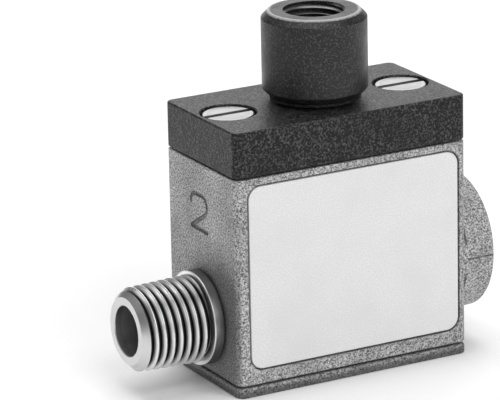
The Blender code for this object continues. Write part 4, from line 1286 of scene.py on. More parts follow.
@dataclass
class ValveBlock:
    """The cast block with its boss, its bores and its engraved number."""

    corner: float = 1.2 * MM  # Radius of the upright edges
    rims: tuple[float, float] = (0.3 * MM, 0.25 * MM)  # Radii of the edges round the bottom and the top
    boss_edge: float = 0.4 * MM  # Radius of the boss's outer edge
    boss_inset: float = 0.25 * MM  # How far the boss stays behind the block's front and back faces
    boss_level: float = 4.25 * MM  # Level of the boss's lowest point
    boss_root: float = 1.5 * MM  # Length of the boss that is sunk in the block
    port_radius: float = 6.58 * MM  # Root radius of the female thread
    port_depth: float = 11.2 * MM  # Depth of the tapped hole
    port_mouth: float = 0.5 * MM  # Width of the chamfer at its mouth
    run_out: float = 1.2 * MM  # Length behind its thread
    drill_edge: tuple[float, float] = (0.4 * MM, 0.2 * MM)  # Width and height of the bevel at its floor
    plate_gap: float = 0.3 * MM  # Width of the groove round the name plate
    feed_radius: float = 2.3 * MM  # Radius of the passage from the port to the room over the seat
    feed_overlap: float = 0.3 * MM  # Length of that passage inside the tapped hole
    vent_radius: float = 0.6 * MM  # Radius of the vent hole
    vent_flare: float = 0.15 * MM  # Width of the chamfer at its mouth
    room_radius: float = 5.8 * MM  # Radius of the room between bush and seat
    seat_radius: float = 3.9 * MM  # Inner radius of the seat lip
    seat_wall: float = 0.7 * MM  # Wall of the seat lip
    seat_lip: float = 0.5 * MM  # Height of the seat lip
    web: float = 1.3 * MM  # Height of the wall over the chamber
    chamber_radius: float = 7.0 * MM  # Radius of the chamber round the poppet
    # Middle of the number along Y, and the level of its foot
    number_place: tuple[float, float] = (0.7 * MM, 23.8 * MM)
    number_width: float = 5.0 * MM  # Width of the number
    number_height: float = 5.4 * MM  # Height of the number
    number_bend: float = 1.5 * MM  # Radius of its bow
    number_stroke: float = 0.36 * MM  # Half the width of its line
    number_foot: float = 0.93  # Where its foot starts, as a share of half its width
    parting_start: float = 0.5 * MM  # Distance from the block at which the parting line starts
    parting_width: float = 0.2 * MM  # Half the width of the parting line
    parting_depth: float = 0.4  # Share of that width by which the line stands off the boss

    def build(self) -> Piece:
        """Build the block from its slab, boss and tools.

        Returns:
            The block.
        """
        low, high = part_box("valve_block")
        face = -low.x
        body = slab(low, (face, high.y, high.z), self.corner, self.rims).piece("valve_block_cast")
        port = self.port_place()
        radius, length = high.y - self.boss_inset, high.x - face
        profile = rounded_profile(
            [
                (0.0, length, 0.0),
                (radius, length, self.boss_edge),
                (radius, -self.boss_root, 0.0),
                (0.0, -self.boss_root, 0.0),
            ]
        )
        boss = turned(profile, ROUND).stood(Facing.RIGHT, port).piece("boss")
        cuts = [
            self.main_bore(high.z),
            self.tapped_hole((high.x, 0.0, port[2])),
            *self.passages(),
            self.plate_pocket(),
            *self.port_number(low.x),
            *self.parting_lines(port, radius, length),
            *self.screw_holes(low.z, high.z),
        ]
        return carved(body, cuts, [boss])

    def port_place(self) -> Point:
        """Return the middle of the boss's root on the right-hand face."""
        low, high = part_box("valve_block")
        return (-low.x, 0.0, self.boss_level + high.y - self.boss_inset)

    def seat_levels(self) -> tuple[float, float, float]:
        """Add up the levels over the poppet, from its head at rest.

        Returns:
            The levels of the seat, of the chamber's top and of the web's top.
        """
        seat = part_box("poppet")[1].z + END_GAP
        chamber = seat + self.seat_lip
        return seat, chamber, chamber + self.web

    def port_number(self, face: float) -> list[Piece]:
        """Build the tools that engrave a plain 2 over the male thread.

        Args:
            face: Place of the left-hand face along X.

        Returns:
            The bow with its slope, and the foot, both half sunk in the face.
        """
        half, height, bend = self.number_width / 2, self.number_height, self.number_bend
        bow = [
            (-half, height - bend, 0.0),
            (-half, height, 0.95 * bend),
            (half, height, bend),
            (half, 0.55 * height, 0.7 * bend),
            (-half, 0.0, 0.0),
        ]
        foot = [(-self.number_foot * half, 0.0, 0.0), (half, 0.0, 0.0)]
        middle, base = self.number_place
        tools = []
        for name, corners in (("bow", bow), ("foot", foot)):
            line = rounded_profile(corners)
            places = (np.full(len(line), face), middle - line[:, 0], base + line[:, 1])
            route = np.stack(places, axis=1)
            tools.append(stroke(route, np.array([1.0, 0.0, 0.0]), self.number_stroke).piece(name))
        return tools

    def parting_lines(self, port: Point, radius: float, length: float) -> list[Piece]:
        """Build the tools for the fine lines that the mould's halves leave on the boss.

        Args:
            port: Middle of the boss's root.
            radius: Radius of the boss.
            length: Length of the boss.

        Returns:
            The tools of the front and the back line.
        """
        start = port[0] + self.parting_start
        end = port[0] + length - self.boss_edge - self.parting_width
        lines = []
        for side in (-1.0, 1.0):
            along = side * (radius + self.parting_depth * self.parting_width)
            route = np.array([(start, along, port[2]), (end, along, port[2])])
            line = stroke(route, np.array([0.0, 0.0, 1.0]), self.parting_width)
            lines.append(line.piece("parting_line"))
        return lines

    def main_bore(self, top: float) -> Piece:
        """Build the tool of the stepped upright bore for poppet, bush and piston.

        Args:
            top: Level of the block's top.

        Returns:
            The tool.
        """
        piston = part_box("pilot_piston")[1].x + CLEARANCE
        seal_low, seal_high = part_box("cover_seal")
        step, seal = seal_low.z - CLEARANCE, seal_high.x + CLEARANCE
        ring_low, ring_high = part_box("bush_retaining_ring")
        ring_bottom, ring_top = ring_low.z - CLEARANCE, ring_high.z + CLEARANCE
        groove = CLEARANCE - ring_low.x
        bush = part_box("guide_bush")[0].z - END_GAP
        seat, chamber, web = self.seat_levels()
        lip = self.seat_radius + self.seat_wall
        corners = [
            (0.0, top + CUT_MARGIN),
            (seal, top + CUT_MARGIN),
            (seal, step),
            (piston, step),
            (piston, ring_top),
            (groove, ring_top),
            (groove, ring_bottom),
            (piston, ring_bottom),
            (piston, bush),
            (self.room_radius, bush),
            (self.room_radius, web),
            (self.seat_radius, web),
            (self.seat_radius, seat),
            (lip, seat),
            (lip, chamber),
            (self.chamber_radius, chamber),
            (self.chamber_radius, 0.0),
            (0.0, 0.0),
        ]
        return turned(np.array(corners), ROUND).piece("main_bore")

    def tapped_hole(self, mouth: Point) -> Piece:
        """Build the tool of the female port, with its thread standing in it.

        Args:
            mouth: Middle of the hole's mouth.

        Returns:
            The tool.
        """
        radius, depth = self.port_radius, self.port_depth
        crest, run_out = radius - QUARTER_THREAD[1], self.run_out - depth
        flare = radius + self.port_mouth
        inset, rise = self.drill_edge
        profile = np.array(
            [
                (0.0, CUT_MARGIN),
                (flare, CUT_MARGIN),
                (flare, 0.0),
                (radius, -self.port_mouth),
                (crest, -self.port_mouth),
                (crest, run_out),
                (radius, run_out),
                (radius, -depth + rise),
                (radius - inset, -depth),
                (0.0, -depth),
            ]
        )
        thread = Thread(QUARTER_THREAD, run_out, -self.port_mouth, radius, inner=True)
        surface = turned(profile, ROUND, thread=thread)
        return surface.stood(Facing.RIGHT, mouth).piece("tapped_hole")

    def passages(self) -> list[Piece]:
        """Build the tools of the passages to the male thread, from the port and of the vent.

        The first is stepped for the nipple's shank, the second leads to the room over
        the seat, and the third lets air out from under the piston.

        Returns:
            The tools.
        """
        low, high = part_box("valve_block")
        nipple_low, nipple_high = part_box("threaded_nipple")
        shank = (MaleThread.shank + CLEARANCE, nipple_high.x + END_GAP - low.x)
        left = (low.x, 0.0, (nipple_low.z + nipple_high.z) / 2)
        room = (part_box("guide_bush")[0].z - END_GAP + self.seat_levels()[2]) / 2
        mouth = high.x - self.port_depth + self.feed_overlap
        vent = (0.0, high.y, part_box("bush_retaining_ring")[1].z + self.vent_radius)
        steps = ((self.vent_radius, high.y),)
        return [
            Hole(left, Facing.LEFT, (shank, (MaleThread.bore, -low.x))).tool("nipple_passage"),
            Hole((mouth, 0.0, room), Facing.RIGHT, ((self.feed_radius, mouth),)).tool("feed_hole"),
            Hole(vent, Facing.BACK, steps, self.vent_flare).tool("vent_hole"),
        ]

    def plate_pocket(self) -> Piece:
        """Build the tool of the shallow pocket for the name plate.

        Returns:
            The tool.
        """
        low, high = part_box("name_plate")
        gap = Vector((self.plate_gap, self.plate_gap, self.plate_gap))
        first, last = low - gap, high + gap
        first.y = low.y - CUT_MARGIN
        radius = NamePlate.corner + self.plate_gap
        return slab(first, last, radius, SHARP_RIMS, Facing.BACK).piece("plate_pocket")

    def screw_holes(self, bottom: float, top: float) -> list[Piece]:
        """Build the tools of the holes for the cover's and the bottom plate's screws.

        Args:
            bottom: Level of the block's underside.
            top: Level of the block's top.

        Returns:
            The tools.
        """
        tools = []
        for screw in COVER_SCREWS:
            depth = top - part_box(screw.node)[0].z + END_GAP
            hole = Hole(middle_of(screw.node, top), Facing.UP, ((screw.thread_hole(), depth),))
            tools.append(hole.tool(screw.node + "_hole"))
        for screw in BOTTOM_SCREWS:
            radius = screw.thread_hole()
            start, end = bottom - CUT_MARGIN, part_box(screw.node)[1].z + END_GAP
            profile = np.array([(0.0, end), (radius, end), (radius, start), (0.0, start)])
            hole = turned(profile, SMALL_ROUND).stood(Facing.UP, middle_of(screw.node))
            tools.append(hole.piece(screw.node + "_hole"))
        return tools

    def dress(self, piece: Piece) -> None:
        """Finish the block and let it stand for its frame node.

        Args:
            piece: The block.
        """
        face, (low, high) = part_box("valve_block")[0].x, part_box("threaded_nipple")
        fitting = (face, -5.0 * MM, (low.z + high.z) / 2)
        light, dark = (0.7, 0.7, 0.705), (0.06, 0.06, 0.062)
        skin = CastBlockSkin("blasted_casting", light, dark, block=self, fitting=fitting)
        fit_out(piece, skin.make(), "valve_block")


@dataclass
class BottomPlate:
    """The plate under the block, with its spigot, guide post and countersinks."""

    corner: float = 1.2 * MM  # Radius of the upright edges
    # Radii of the edges round the plate's underside and top
    rims: tuple[float, float] = (0.3 * MM, 0.45 * MM)
    thickness: float = 1.6 * MM  # Thickness of the plate
    spigot: tuple[float, float] = (6.9 * MM, 3.3 * MM)  # Radius and height of the spigot on the plate
    post: float = 2.9 * MM  # Radius of the guide post
    post_root: float = 0.3 * MM  # Radius of the fillet at the post's foot
    edge: float = 0.2 * MM  # Radius of the edges of spigot and post
    groove_depth: float = 1.2 * MM  # Depth of the seal's groove, from the seal's outer edge
    guide: float = 1.6 * MM  # Radius of the hole for the poppet's tail
    guide_floor: float = 1.1 * MM  # Level of that hole's floor

    def build(self) -> Piece:
        """Build the plate with its spigot, post and holes.

        Returns:
            The plate.
        """
        low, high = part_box("bottom_plate")
        top = self.thickness
        plate = slab(low, (high.x, high.y, top), self.corner, self.rims).piece("bottom_plate_cast")
        spigot, height = self.spigot
        seal_low, seal_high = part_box("bottom_plate_seal")
        groove_bottom, groove_top = seal_low.z - CLEARANCE, seal_high.z + CLEARANCE
        root = seal_high.x - self.groove_depth
        profile = rounded_profile(
            [
                (0.0, high.z, 0.0),
                (self.post, high.z, self.edge),
                (self.post, top + height, self.post_root),
                (spigot, top + height, self.edge),
                (spigot, groove_top, 0.0),
                (root, groove_top, 0.0),
                (root, groove_bottom, 0.0),
                (spigot, groove_bottom, 0.0),
                (spigot, top / 2, 0.0),
                (0.0, top / 2, 0.0),
            ]
        )
        post = turned(profile, ROUND).piece("spigot")
        steps = ((self.guide, high.z - self.guide_floor),)
        guide = Hole((0.0, 0.0, high.z), Facing.UP, steps).tool("guide_hole")
        return carved(plate, [guide, *map(self.countersink, BOTTOM_SCREWS)], [post])

    def countersink(self, screw: SlottedScrew) -> Piece:
        """Build the tool for one screw's hole and the cone for its head.

        Args:
            screw: The screw.

        Returns:
            The tool.
        """
        face = screw.face()
        shank, head = screw.shank + CLEARANCE, screw.head_radius() + 2 * CLEARANCE
        corners = np.array(
            [
                (0.0, self.thickness + CUT_MARGIN),
                (shank, self.thickness + CUT_MARGIN),
                (shank, face + screw.head + CLEARANCE),
                (head, face),
                (head, -CUT_MARGIN),
                (0.0, -CUT_MARGIN),
            ]
        )
        tool = turned(corners, SMALL_ROUND).stood(Facing.UP, middle_of(screw.node))
        return tool.piece(screw.node + "_countersink")

    def dress(self, plate: Piece) -> None:
        """Finish the plate and let it stand for its frame node."""
        skin = PlateSkin("blasted_plate", (0.5, 0.5, 0.503), (0.04, 0.04, 0.041))
        fit_out(plate, skin.make(), "bottom_plate")


@dataclass
class PilotConnection:
    """The round pilot connection with its inner thread."""

    bevel: float = 1.1 * MM  # Width of the bevels at top and bottom
    neck: float = 0.4 * MM  # Height of the narrow neck over the cover
    gap: float = 0.3 * MM  # Gap between the cover and the neck's foot
    edge: float = 0.12 * MM  # Radius of the edges
    mouth: float = 0.45 * MM  # Width of the chamfer at the bore's mouth
    mouth_edge: float = 0.05 * MM  # Radius of that chamfer's outer edge
    bore_radius: float = 4.864 * MM  # Root radius of the inner thread
    bore_depth: float = 8.5 * MM  # Depth of the tapped bore
    run_out: float = 1.0 * MM  # Length behind its thread
    stem: float = 4.85 * MM  # Radius of the stem in the cover
    passage: float = 2.1 * MM  # Radius of the passage through the stem

    def build(self) -> Piece:
        """Build the turned connection with the thread in its bore.

        Returns:
            The connection.
        """
        low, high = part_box("pilot_port_adapter")
        radius, top = high.x, high.z
        neck_radius = radius - self.bevel
        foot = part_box("pilot_cover")[1].z + self.gap
        neck_top = foot + self.neck
        crest = self.bore_radius - EIGHTH_THREAD[1]
        floor = top - self.bore_depth
        thread_start, thread_end = floor + self.run_out, top - self.mouth
        outer = rounded_profile(
            [
                (crest + self.mouth, top, self.mouth_edge),
                (neck_radius, top, self.edge),
                (radius, top - self.bevel, 2 * self.edge),
                (radius, neck_top + self.bevel, 2 * self.edge),
                (neck_radius, neck_top, self.edge),
                (neck_radius, foot, 0.0),
                (self.stem, foot, 0.0),
                (self.stem, low.z, self.edge),
                (self.passage, low.z, self.edge),
                (self.passage, floor, self.edge),
                (self.bore_radius, floor, 0.0),
                (self.bore_radius, thread_start, 0.0),
                (crest, thread_start, 0.0),
                (crest, thread_end, 0.0),
            ],
            closed=True,
        )
        thread = Thread(EIGHTH_THREAD, thread_start, thread_end, self.bore_radius, inner=True)
        return turned(outer, ROUND, closed=True, thread=thread).piece("pilot_connection_turned")

    def dress(self, piece: Piece) -> None:
        """Finish the connection and let it stand for its frame node.

        Args:
            piece: The connection.
        """
        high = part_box("pilot_port_adapter")[1]
        coat = CoatedTurning(
            "black_turned_adapter",
            (0.02, 0.02, 0.0205),
            (0.008, 0.008, 0.008),
            roughness=0.36,
            specular=0.34,
            centre=middle_of("pilot_port_adapter"),
            rim=high.x - self.bevel,
            top=high.z,
        )
        fit_out(piece, coat.make(), "pilot_port_adapter")


@dataclass
class PilotCover:
    """The black cover."""

    corner: float = 1.2 * MM  # Radius of the upright edges
    rims: tuple[float, float] = (0.12 * MM, 0.3 * MM)  # Radii of the edges round the bottom and the top
    head_gap: float = 0.3 * MM  # Gap round the screws and under their heads
    mouth_flare: float = 0.15 * MM  # Width of the chamfer round the counterbores
    recess: float = 6.0 * MM  # Radius of the recess over the piston
    recess_depth: float = 0.8 * MM  # Depth of that recess

    def build(self) -> Piece:
        """Build the cover with its counterbores and its pilot passage.

        Returns:
            The cover.
        """
        low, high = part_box("pilot_cover")
        cover = slab(low, high, self.corner, self.rims).piece("pilot_cover_black")
        cuts = [self.pilot_hole(low.z, high.z)]
        for screw in COVER_SCREWS:
            seat = screw.face() - screw.head
            steps = (
                (screw.head_radius() + self.head_gap, high.z - seat + self.head_gap),
                (screw.shank + self.head_gap, high.z - low.z + CUT_MARGIN),
            )
            hole = Hole(middle_of(screw.node, high.z), Facing.UP, steps, self.mouth_flare)
            cuts.append(hole.tool(screw.node + "_counterbore", ROUND))
        return carved(cover, cuts)

    def pilot_hole(self, bottom: float, top: float) -> Piece:
        """Build the tool of the hole that takes the pilot connection.

        Args:
            bottom: Level of the cover's underside.
            top: Level of the cover's top.

        Returns:
            The tool.
        """
        seal_low, seal_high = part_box("adapter_seal")
        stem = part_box("pilot_port_adapter")[0].z - END_GAP
        steps = (
            (seal_high.x + CLEARANCE, top - seal_low.z + CLEARANCE),
            (PilotConnection.stem + CLEARANCE, top - stem),
            (PilotConnection.passage, top - bottom - self.recess_depth),
            (self.recess, top - bottom + CUT_MARGIN),
        )
        return Hole((0.0, 0.0, top), Facing.UP, steps).tool("pilot_hole", ROUND)

    def dress(self, cover: Piece) -> None:
        """Finish the cover and let it stand for its frame node.

        Args:
            cover: The cover.
        """
        coat = GrainedCoat(
            "black_cover_coat",
            (0.095, 0.095, 0.097),
            (0.002, 0.002, 0.002),
            roughness=0.4,
            relief=0.08 * MM,
            specular=0.28,
            grain=0.3 * MM,
            spread=(0.46, 0.72),
        )
        fit_out(cover, coat.make(), "pilot_cover")


@dataclass(frozen=True)
class InnerPiece:
    """A piece of the mechanism, in the place of its frame node."""

    node: str  # Frame node that it stands for
    ending: str  # End of the piece's name, after the node's
    slot: str  # Key of its finish among the mechanism's materials
    body: Body = Body.VALVE  # Body that it rides on

    def surface(self) -> Surface:
        """Return the piece's surface. Each kind has its own."""
        raise NotImplementedError

    def build(self, material: bpy.types.Material) -> Piece:
        """Build the piece and give it its finish.

        Args:
            material: The finish of its slot.

        Returns:
            The piece.
        """
        piece = self.surface().piece(f"{self.node}_{self.ending}")
        return fit_out(piece, material, self.node, self.body)


@dataclass(frozen=True)
class TurnedPiece(InnerPiece):
    """A piece turned about the upright axis."""

    hollow: bool = True  # Whether its profile runs round a hole
    edge: float = 0.1 * MM  # Radius of its usual fillet

    def reach(self) -> tuple[float, float, float]:
        """Return the frame node's lowest and highest level and its radius."""
        low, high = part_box(self.node)
        return low.z, high.z, high.x

    def corners(self) -> list[Corner]:
        """Return the corners of the profile. Each kind has its own."""
        raise NotImplementedError

    def surface(self) -> Surface:
        """Turn the rounded profile."""
        profile = rounded_profile(self.corners(), closed=self.hollow)
        return turned(profile, ROUND, closed=self.hollow)


@dataclass(frozen=True)
class PilotPiston(TurnedPiece):
    """The piston, with a groove for its ring, a spring pocket and a recess for the nut."""

    bevel: float = 0.3 * MM  # Width of the bevels at its outer edges
    groove_depth: float = 1.6 * MM  # Depth of the groove
    # Inner and outer radius of the spring pocket
    pocket: tuple[float, float] = (3.875 * MM, 5.175 * MM)
    pocket_depth: float = 2.2 * MM  # Depth of that pocket
    recess: float = 3.475 * MM  # Radius of the nut's recess
    bore: float = 1.6 * MM  # Radius of the bore for the rod

    def corners(self) -> list[Corner]:
        """Return the corners from the nut's recess outwards, down, and back up the bore.

        Returns:
            Radius, height and fillet radius of each corner.
        """
        low, high, radius = self.reach()
        seal_low, seal_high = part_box("piston_seal")
        groove_bottom, groove_top = seal_low.z - CLEARANCE, seal_high.z + CLEARANCE
        root = radius - self.groove_depth
        inner, outer = self.pocket
        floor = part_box("push_rod_nut")[0].z - CLEARANCE
        return [
            (self.recess, high, self.edge),
            (radius - self.bevel, high, self.edge),
            (radius, high - self.bevel, self.edge),
            (radius, groove_top, 0.5 * self.edge),
            (root, groove_top, self.edge),
            (root, groove_bottom, self.edge),
            (radius, groove_bottom, 0.5 * self.edge),
            (radius, low + self.bevel, self.edge),
            (radius - self.bevel, low, self.edge),
            (outer, low, self.edge),
            (outer, low + self.pocket_depth, 1.5 * self.edge),
            (inner, low + self.pocket_depth, 1.5 * self.edge),
            (inner, low, self.edge),
            (self.bore, low, 0.5 * self.edge),
            (self.bore, floor, 0.5 * self.edge),
            (self.recess, floor, self.edge),
        ]


@dataclass(frozen=True)
class PushRod(TurnedPiece):
    """The rod, stepped where the piston sits on it."""

    hollow: bool = False
    neck: float = 1.5 * MM  # Radius of the end that carries the piston and the nut
    bevel: float = 0.3 * MM  # Width of the bevel at that end
    tip: float = 0.4 * MM  # Width of the bevel at the end that pushes the poppet

    def corners(self) -> list[Corner]:
        """Return the corners from the top down to the tip.

        Returns:
            Radius, height and fillet radius of each corner.
        """
        low, high, radius = self.reach()
        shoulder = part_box("pilot_piston")[0].z - CLEARANCE
        return [
            (0.0, high, 0.0),
            (self.neck - self.bevel, high, 0.5 * self.edge),
            (self.neck, high - self.bevel, self.edge),
            (self.neck, shoulder, 0.5 * self.edge),
            (radius, shoulder, 1.5 * self.edge),
            (radius, low + self.tip, 1.5 * self.edge),
            (radius - self.tip, low, self.edge),
            (0.0, low, 0.0),
        ]


@dataclass(frozen=True)
class GuideBush(TurnedPiece):
    """The bush that guides the rod, with grooves for its two seals."""

    bore: float = 2.1 * MM  # Radius of the bore for the rod
    groove_depth: float = 1.2 * MM  # Depth of the grooves in the bore and in the outer face

    def corners(self) -> list[Corner]:
        """Return the corners from the top of the bore outwards, down, and back up the bore.

        Returns:
            Radius, height and fillet radius of each corner.
        """
        low, high, radius = self.reach()
        seal_low, seal_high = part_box("guide_bush_seal")
        bottom, top = seal_low.z - CLEARANCE, seal_high.z + CLEARANCE
        outer, inner = radius - self.groove_depth, self.bore + self.groove_depth
        return [
            (self.bore, high, 1.5 * self.edge),
            (radius, high, 2 * self.edge),
            (radius, top, 0.5 * self.edge),
            (outer, top, self.edge),
            (outer, bottom, self.edge),
            (radius, bottom, 0.5 * self.edge),
            (radius, low, 2 * self.edge),
            (self.bore, low, 1.5 * self.edge),
            (self.bore, bottom, 0.5 * self.edge),
            (inner, bottom, self.edge),
            (inner, top, self.edge),
            (self.bore, top, 0.5 * self.edge),
        ]


@dataclass(frozen=True)
class PoppetRing(TurnedPiece):
    """The flat ring in the poppet's head that closes on the seat lip."""

    width: float = 1.8 * MM  # Width of the ring

    def corners(self) -> list[Corner]:
        """Return the corners of the ring's section.

        Returns:
            Radius, height and fillet radius of each corner.
        """
        low, high, radius = self.reach()
        across = (radius - self.width, radius)
        section = [(across[0], high), (across[1], high), (across[1], low), (across[0], low)]
        return [(*corner, self.edge) for corner in section]


@dataclass(frozen=True)
class Poppet(TurnedPiece):
    """The poppet, with the groove for its ring, a hub for the spring and a guide tail."""

    hollow: bool = False
    head: float = 2.5 * MM  # Height of the head
    hub: float = 3.1 * MM  # Radius of the hub
    hub_height: float = 0.8 * MM  # Height of the hub
    tail: float = 1.5 * MM  # Radius of the tail

    def corners(self) -> list[Corner]:
        """Return the corners from the top down to the tail's end.

        Returns:
            Radius, height and fillet radius of each corner.
        """
        low, high, radius = self.reach()
        ring_low, ring_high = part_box("poppet_seal")
        floor, outer = ring_low.z - CLEARANCE, ring_high.x + CLEARANCE
        inner = ring_high.x - PoppetRing.width - CLEARANCE
        under_head = high - self.head
        under_hub = under_head - self.hub_height
        return [
            (0.0, high, 0.0),
            (inner, high, self.edge),
            (inner, floor, 0.5 * self.edge),
            (outer, floor, 0.5 * self.edge),
            (outer, high, 0.5 * self.edge),
            (radius, high, 1.5 * self.edge),
            (radius, under_head, 2.5 * self.edge),
            (self.hub, under_head, self.edge),
            (self.hub, under_hub, 1.5 * self.edge),
            (self.tail, under_hub, 1.5 * self.edge),
            (self.tail, low, 3 * self.edge),
            (0.0, low, 0.0),
        ]


@dataclass(frozen=True)
class HexagonNut(InnerPiece):
    """The nut on the push rod."""

    flats: float = 5.5 * MM  # Distance across its flats
    bore: float = 1.6 * MM  # Radius of its bore
    chamfer: float = 0.3 * MM  # Height of the chamfers on its corners
    chamfer_slope: float = 1.8  # Width of those chamfers, in heights
    edge: float = 0.05 * MM  # Radius of the small fillets
    spare: float = 0.1 * MM  # How far the turned blank reaches past the corners

    def surface(self) -> Surface:
        """Turn the nut's profile and flatten its six sides.

        At angle t the radius is at most f / cos(a), where f is half the distance
        across the flats and a the angle from the nearest flat's middle.

        Returns:
            The nut's surface.
        """
        low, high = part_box(self.node)
        blank = self.flats / 2 / math.cos(math.pi / 6) + self.spare
        above = [
            (blank, high.z - self.chamfer, self.edge),
            (blank - self.chamfer_slope * self.chamfer, high.z, self.edge),
            (self.bore + self.chamfer / 2, high.z, self.edge),
            (self.bore, high.z - self.chamfer / 2, self.edge),
        ]
        below = [(radius, low.z + high.z - level, edge) for radius, level, edge in above[::-1]]
        nut = turned(rounded_profile(above + below, closed=True), ROUND, closed=True)
        across, along, levels = nut.points.T
        angles = np.arctan2(along, across) + math.pi / 6
        limit = self.flats / 2 / np.cos(np.mod(angles, math.pi / 3) - math.pi / 6)
        share = np.minimum(1.0, limit / np.hypot(across, along))
        return Surface(np.stack([across * share, along * share, levels], axis=1), nut.faces)


@dataclass(frozen=True)
class RoundSeal(InnerPiece):
    """A sealing ring of round section, as wide and high as its frame node."""

    sides: int = 24  # Number of points round its section

    def surface(self) -> Surface:
        """Turn a circle of radius s round the axis: (R + s cos t, z + s sin t).

        Returns:
            The ring's surface.
        """
        low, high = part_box(self.node)
        half = (high.z - low.z) / 2
        around = np.linspace(0.0, 2 * math.pi, self.sides, endpoint=False)
        profile = np.stack([np.cos(around), np.sin(around)], axis=1) * half
        return turned(profile + (high.x - half, low.z + half), ROUND, closed=True)


@dataclass(frozen=True)
class SnapRing(InnerPiece):
    """The open ring of round wire that holds the bush."""

    gap: float = math.radians(50.0)  # Angle of its gap, on the right-hand side
    steps: int = 96  # Number of points along it

    def surface(self) -> Surface:
        """Carry the wire round an arc of radius R: (R cos t, R sin t, z).

        Returns:
            The ring's surface.
        """
        low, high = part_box(self.node)
        half = (high.z - low.z) / 2
        angles = np.linspace(self.gap / 2, 2 * math.pi - self.gap / 2, self.steps)
        outward = np.stack([np.cos(angles), np.sin(angles), 0.0 * angles], axis=1)
        route = outward * (-low.x - half) + (0.0, 0.0, low.z + half)
        return stroke(route, outward, half)


@dataclass(frozen=True)
class CoilSpring(InnerPiece):
    """A compression spring of round wire, built in one shape; in the valve its joint squeezes it."""

    joint: str = ""  # Joint that squeezes it
    wire: float = 0.8 * MM  # Diameter of the wire
    turns: float = 4.0  # Number of turns
    travel: float = 2.2 * MM  # Travel of the joint
    close_rise: float = 1.12  # Rise of the first and the last turn, as a share of the wire
    steps: int = 40  # Number of points in a turn

    def surface(self) -> Surface:
        """Carry the wire along a helix.

        After s turns the wire's middle is (R cos 2 pi s, R sin 2 pi s, z). z rises by
        little more than the wire over the first and the last turn, and the turns
        between share the height left.

        Returns:
            The spring's surface.
        """
        low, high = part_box(self.node)
        turns = np.linspace(0.0, self.turns, round(self.turns * self.steps) + 1)
        close = self.close_rise * self.wire
        free = high.z - low.z - self.wire - 2 * close
        first_turn = close * np.minimum(turns, 1.0)
        middle_turns = free * np.clip((turns - 1.0) / (self.turns - 2.0), 0.0, 1.0)
        last_turn = close * np.maximum(turns - self.turns + 1.0, 0.0)
        angles = 2 * math.pi * turns
        outward = np.stack([np.cos(angles), np.sin(angles), 0.0 * angles], axis=1)
        route = (high.x - self.wire / 2) * outward
        route[:, 2] = low.z + self.wire / 2 + first_turn + middle_turns + last_turn
        return stroke(route, outward, self.wire / 2)

    def build(self, material: bpy.types.Material) -> Piece:
        """Build the spring and give it a mesh of its own.

        Args:
            material: The finish of its slot.

        Returns:
            The spring.
        """
        piece = super().build(material)
        low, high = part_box(self.node)
        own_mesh(piece)
        return piece


@dataclass
class Mechanism:
    """The pieces inside the block."""

    # The piston with its ring, its rod and its nut
    driven: tuple[InnerPiece, ...] = (
        PilotPiston("pilot_piston", "turned", "piston", Body.PISTON),
        PushRod("push_rod", "ground", "rod_steel", Body.PISTON),
        HexagonNut("push_rod_nut", "hexagon", "rod_steel", Body.PISTON),
        RoundSeal("piston_seal", "ring", "rubber", Body.PISTON),
    )
    # The bush with its two seals and its snap ring
    bush: tuple[InnerPiece, ...] = (
        GuideBush("guide_bush", "turned", "brass"),
        RoundSeal("rod_seal", "ring", "rubber"),
        RoundSeal("guide_bush_seal", "ring", "rubber"),
        SnapRing("bush_retaining_ring", "wire", "spring_steel"),
    )
    # The poppet with its ring
    poppet: tuple[InnerPiece, ...] = (
        Poppet("poppet", "turned", "brass", Body.POPPET),
        PoppetRing("poppet_seal", "moulded", "rubber", Body.POPPET),
    )
    # The springs under piston and poppet
    springs: tuple[InnerPiece, ...] = (
        CoilSpring(
            "piston_return_spring", "coil", "spring_steel", joint="pilot_stroke", wire=0.7 * MM
        ),
        CoilSpring("poppet_spring", "coil", "spring_steel", joint="poppet_lift", turns=4.5),
    )
    # The rings between block, plate, cover and connection
    seals: tuple[InnerPiece, ...] = (
        RoundSeal("adapter_seal", "ring", "rubber"),
        RoundSeal("cover_seal", "ring", "rubber"),
        RoundSeal("bottom_plate_seal", "ring", "rubber"),
    )

    def finishes(self) -> dict[str, bpy.types.Material]:
        """Make the materials of the mechanism.

        Returns:
            The materials under their slots.
        """
        finishes = {
            "brass": TurnedFinish("turned_brass", (0.66, 0.5, 0.24), (0.5, 0.37, 0.16)),
            "piston": TurnedFinish("turned_aluminium", (0.74, 0.75, 0.76), (0.56, 0.57, 0.58)),
            "rod_steel": TurnedFinish(
                "ground_steel", (0.6, 0.6, 0.61), (0.47, 0.47, 0.48), 0.22, ring=0.06 * MM
            ),
            "spring_steel": TurnedFinish(
                "drawn_spring_wire", (0.56, 0.56, 0.57), (0.38, 0.38, 0.39), ring=0.3 * MM
            ),
            "rubber": GrainedCoat(
                "black_seal_rubber", (0.03, 0.03, 0.031), (0.012, 0.012, 0.012), 0.72
            ),
        }
        return {slot: finish.make() for slot, finish in finishes.items()}

    def build(self) -> None:
        """Build every piece with the finish of its slot."""
        finishes = self.finishes()
        for group in (self.driven, self.bush, self.poppet, self.springs, self.seals):
            for piece in group:
                piece.build(finishes[piece.slot])


def direction(azimuth: float, elevation: float) -> Vector:
    """Work out the direction from the object to a place round it.

    It is (sin a cos e, -cos a cos e, sin e) for azimuth a and elevation e.

    Args:
        azimuth: Angle round the object, 0 from the front and a right angle from the right.
        elevation: Angle above the horizon.

    Returns:
        The direction, of length one.
    """
    level = math.cos(elevation)
    return Vector((math.sin(azimuth) * level, -math.cos(azimuth) * level, math.sin(elevation)))


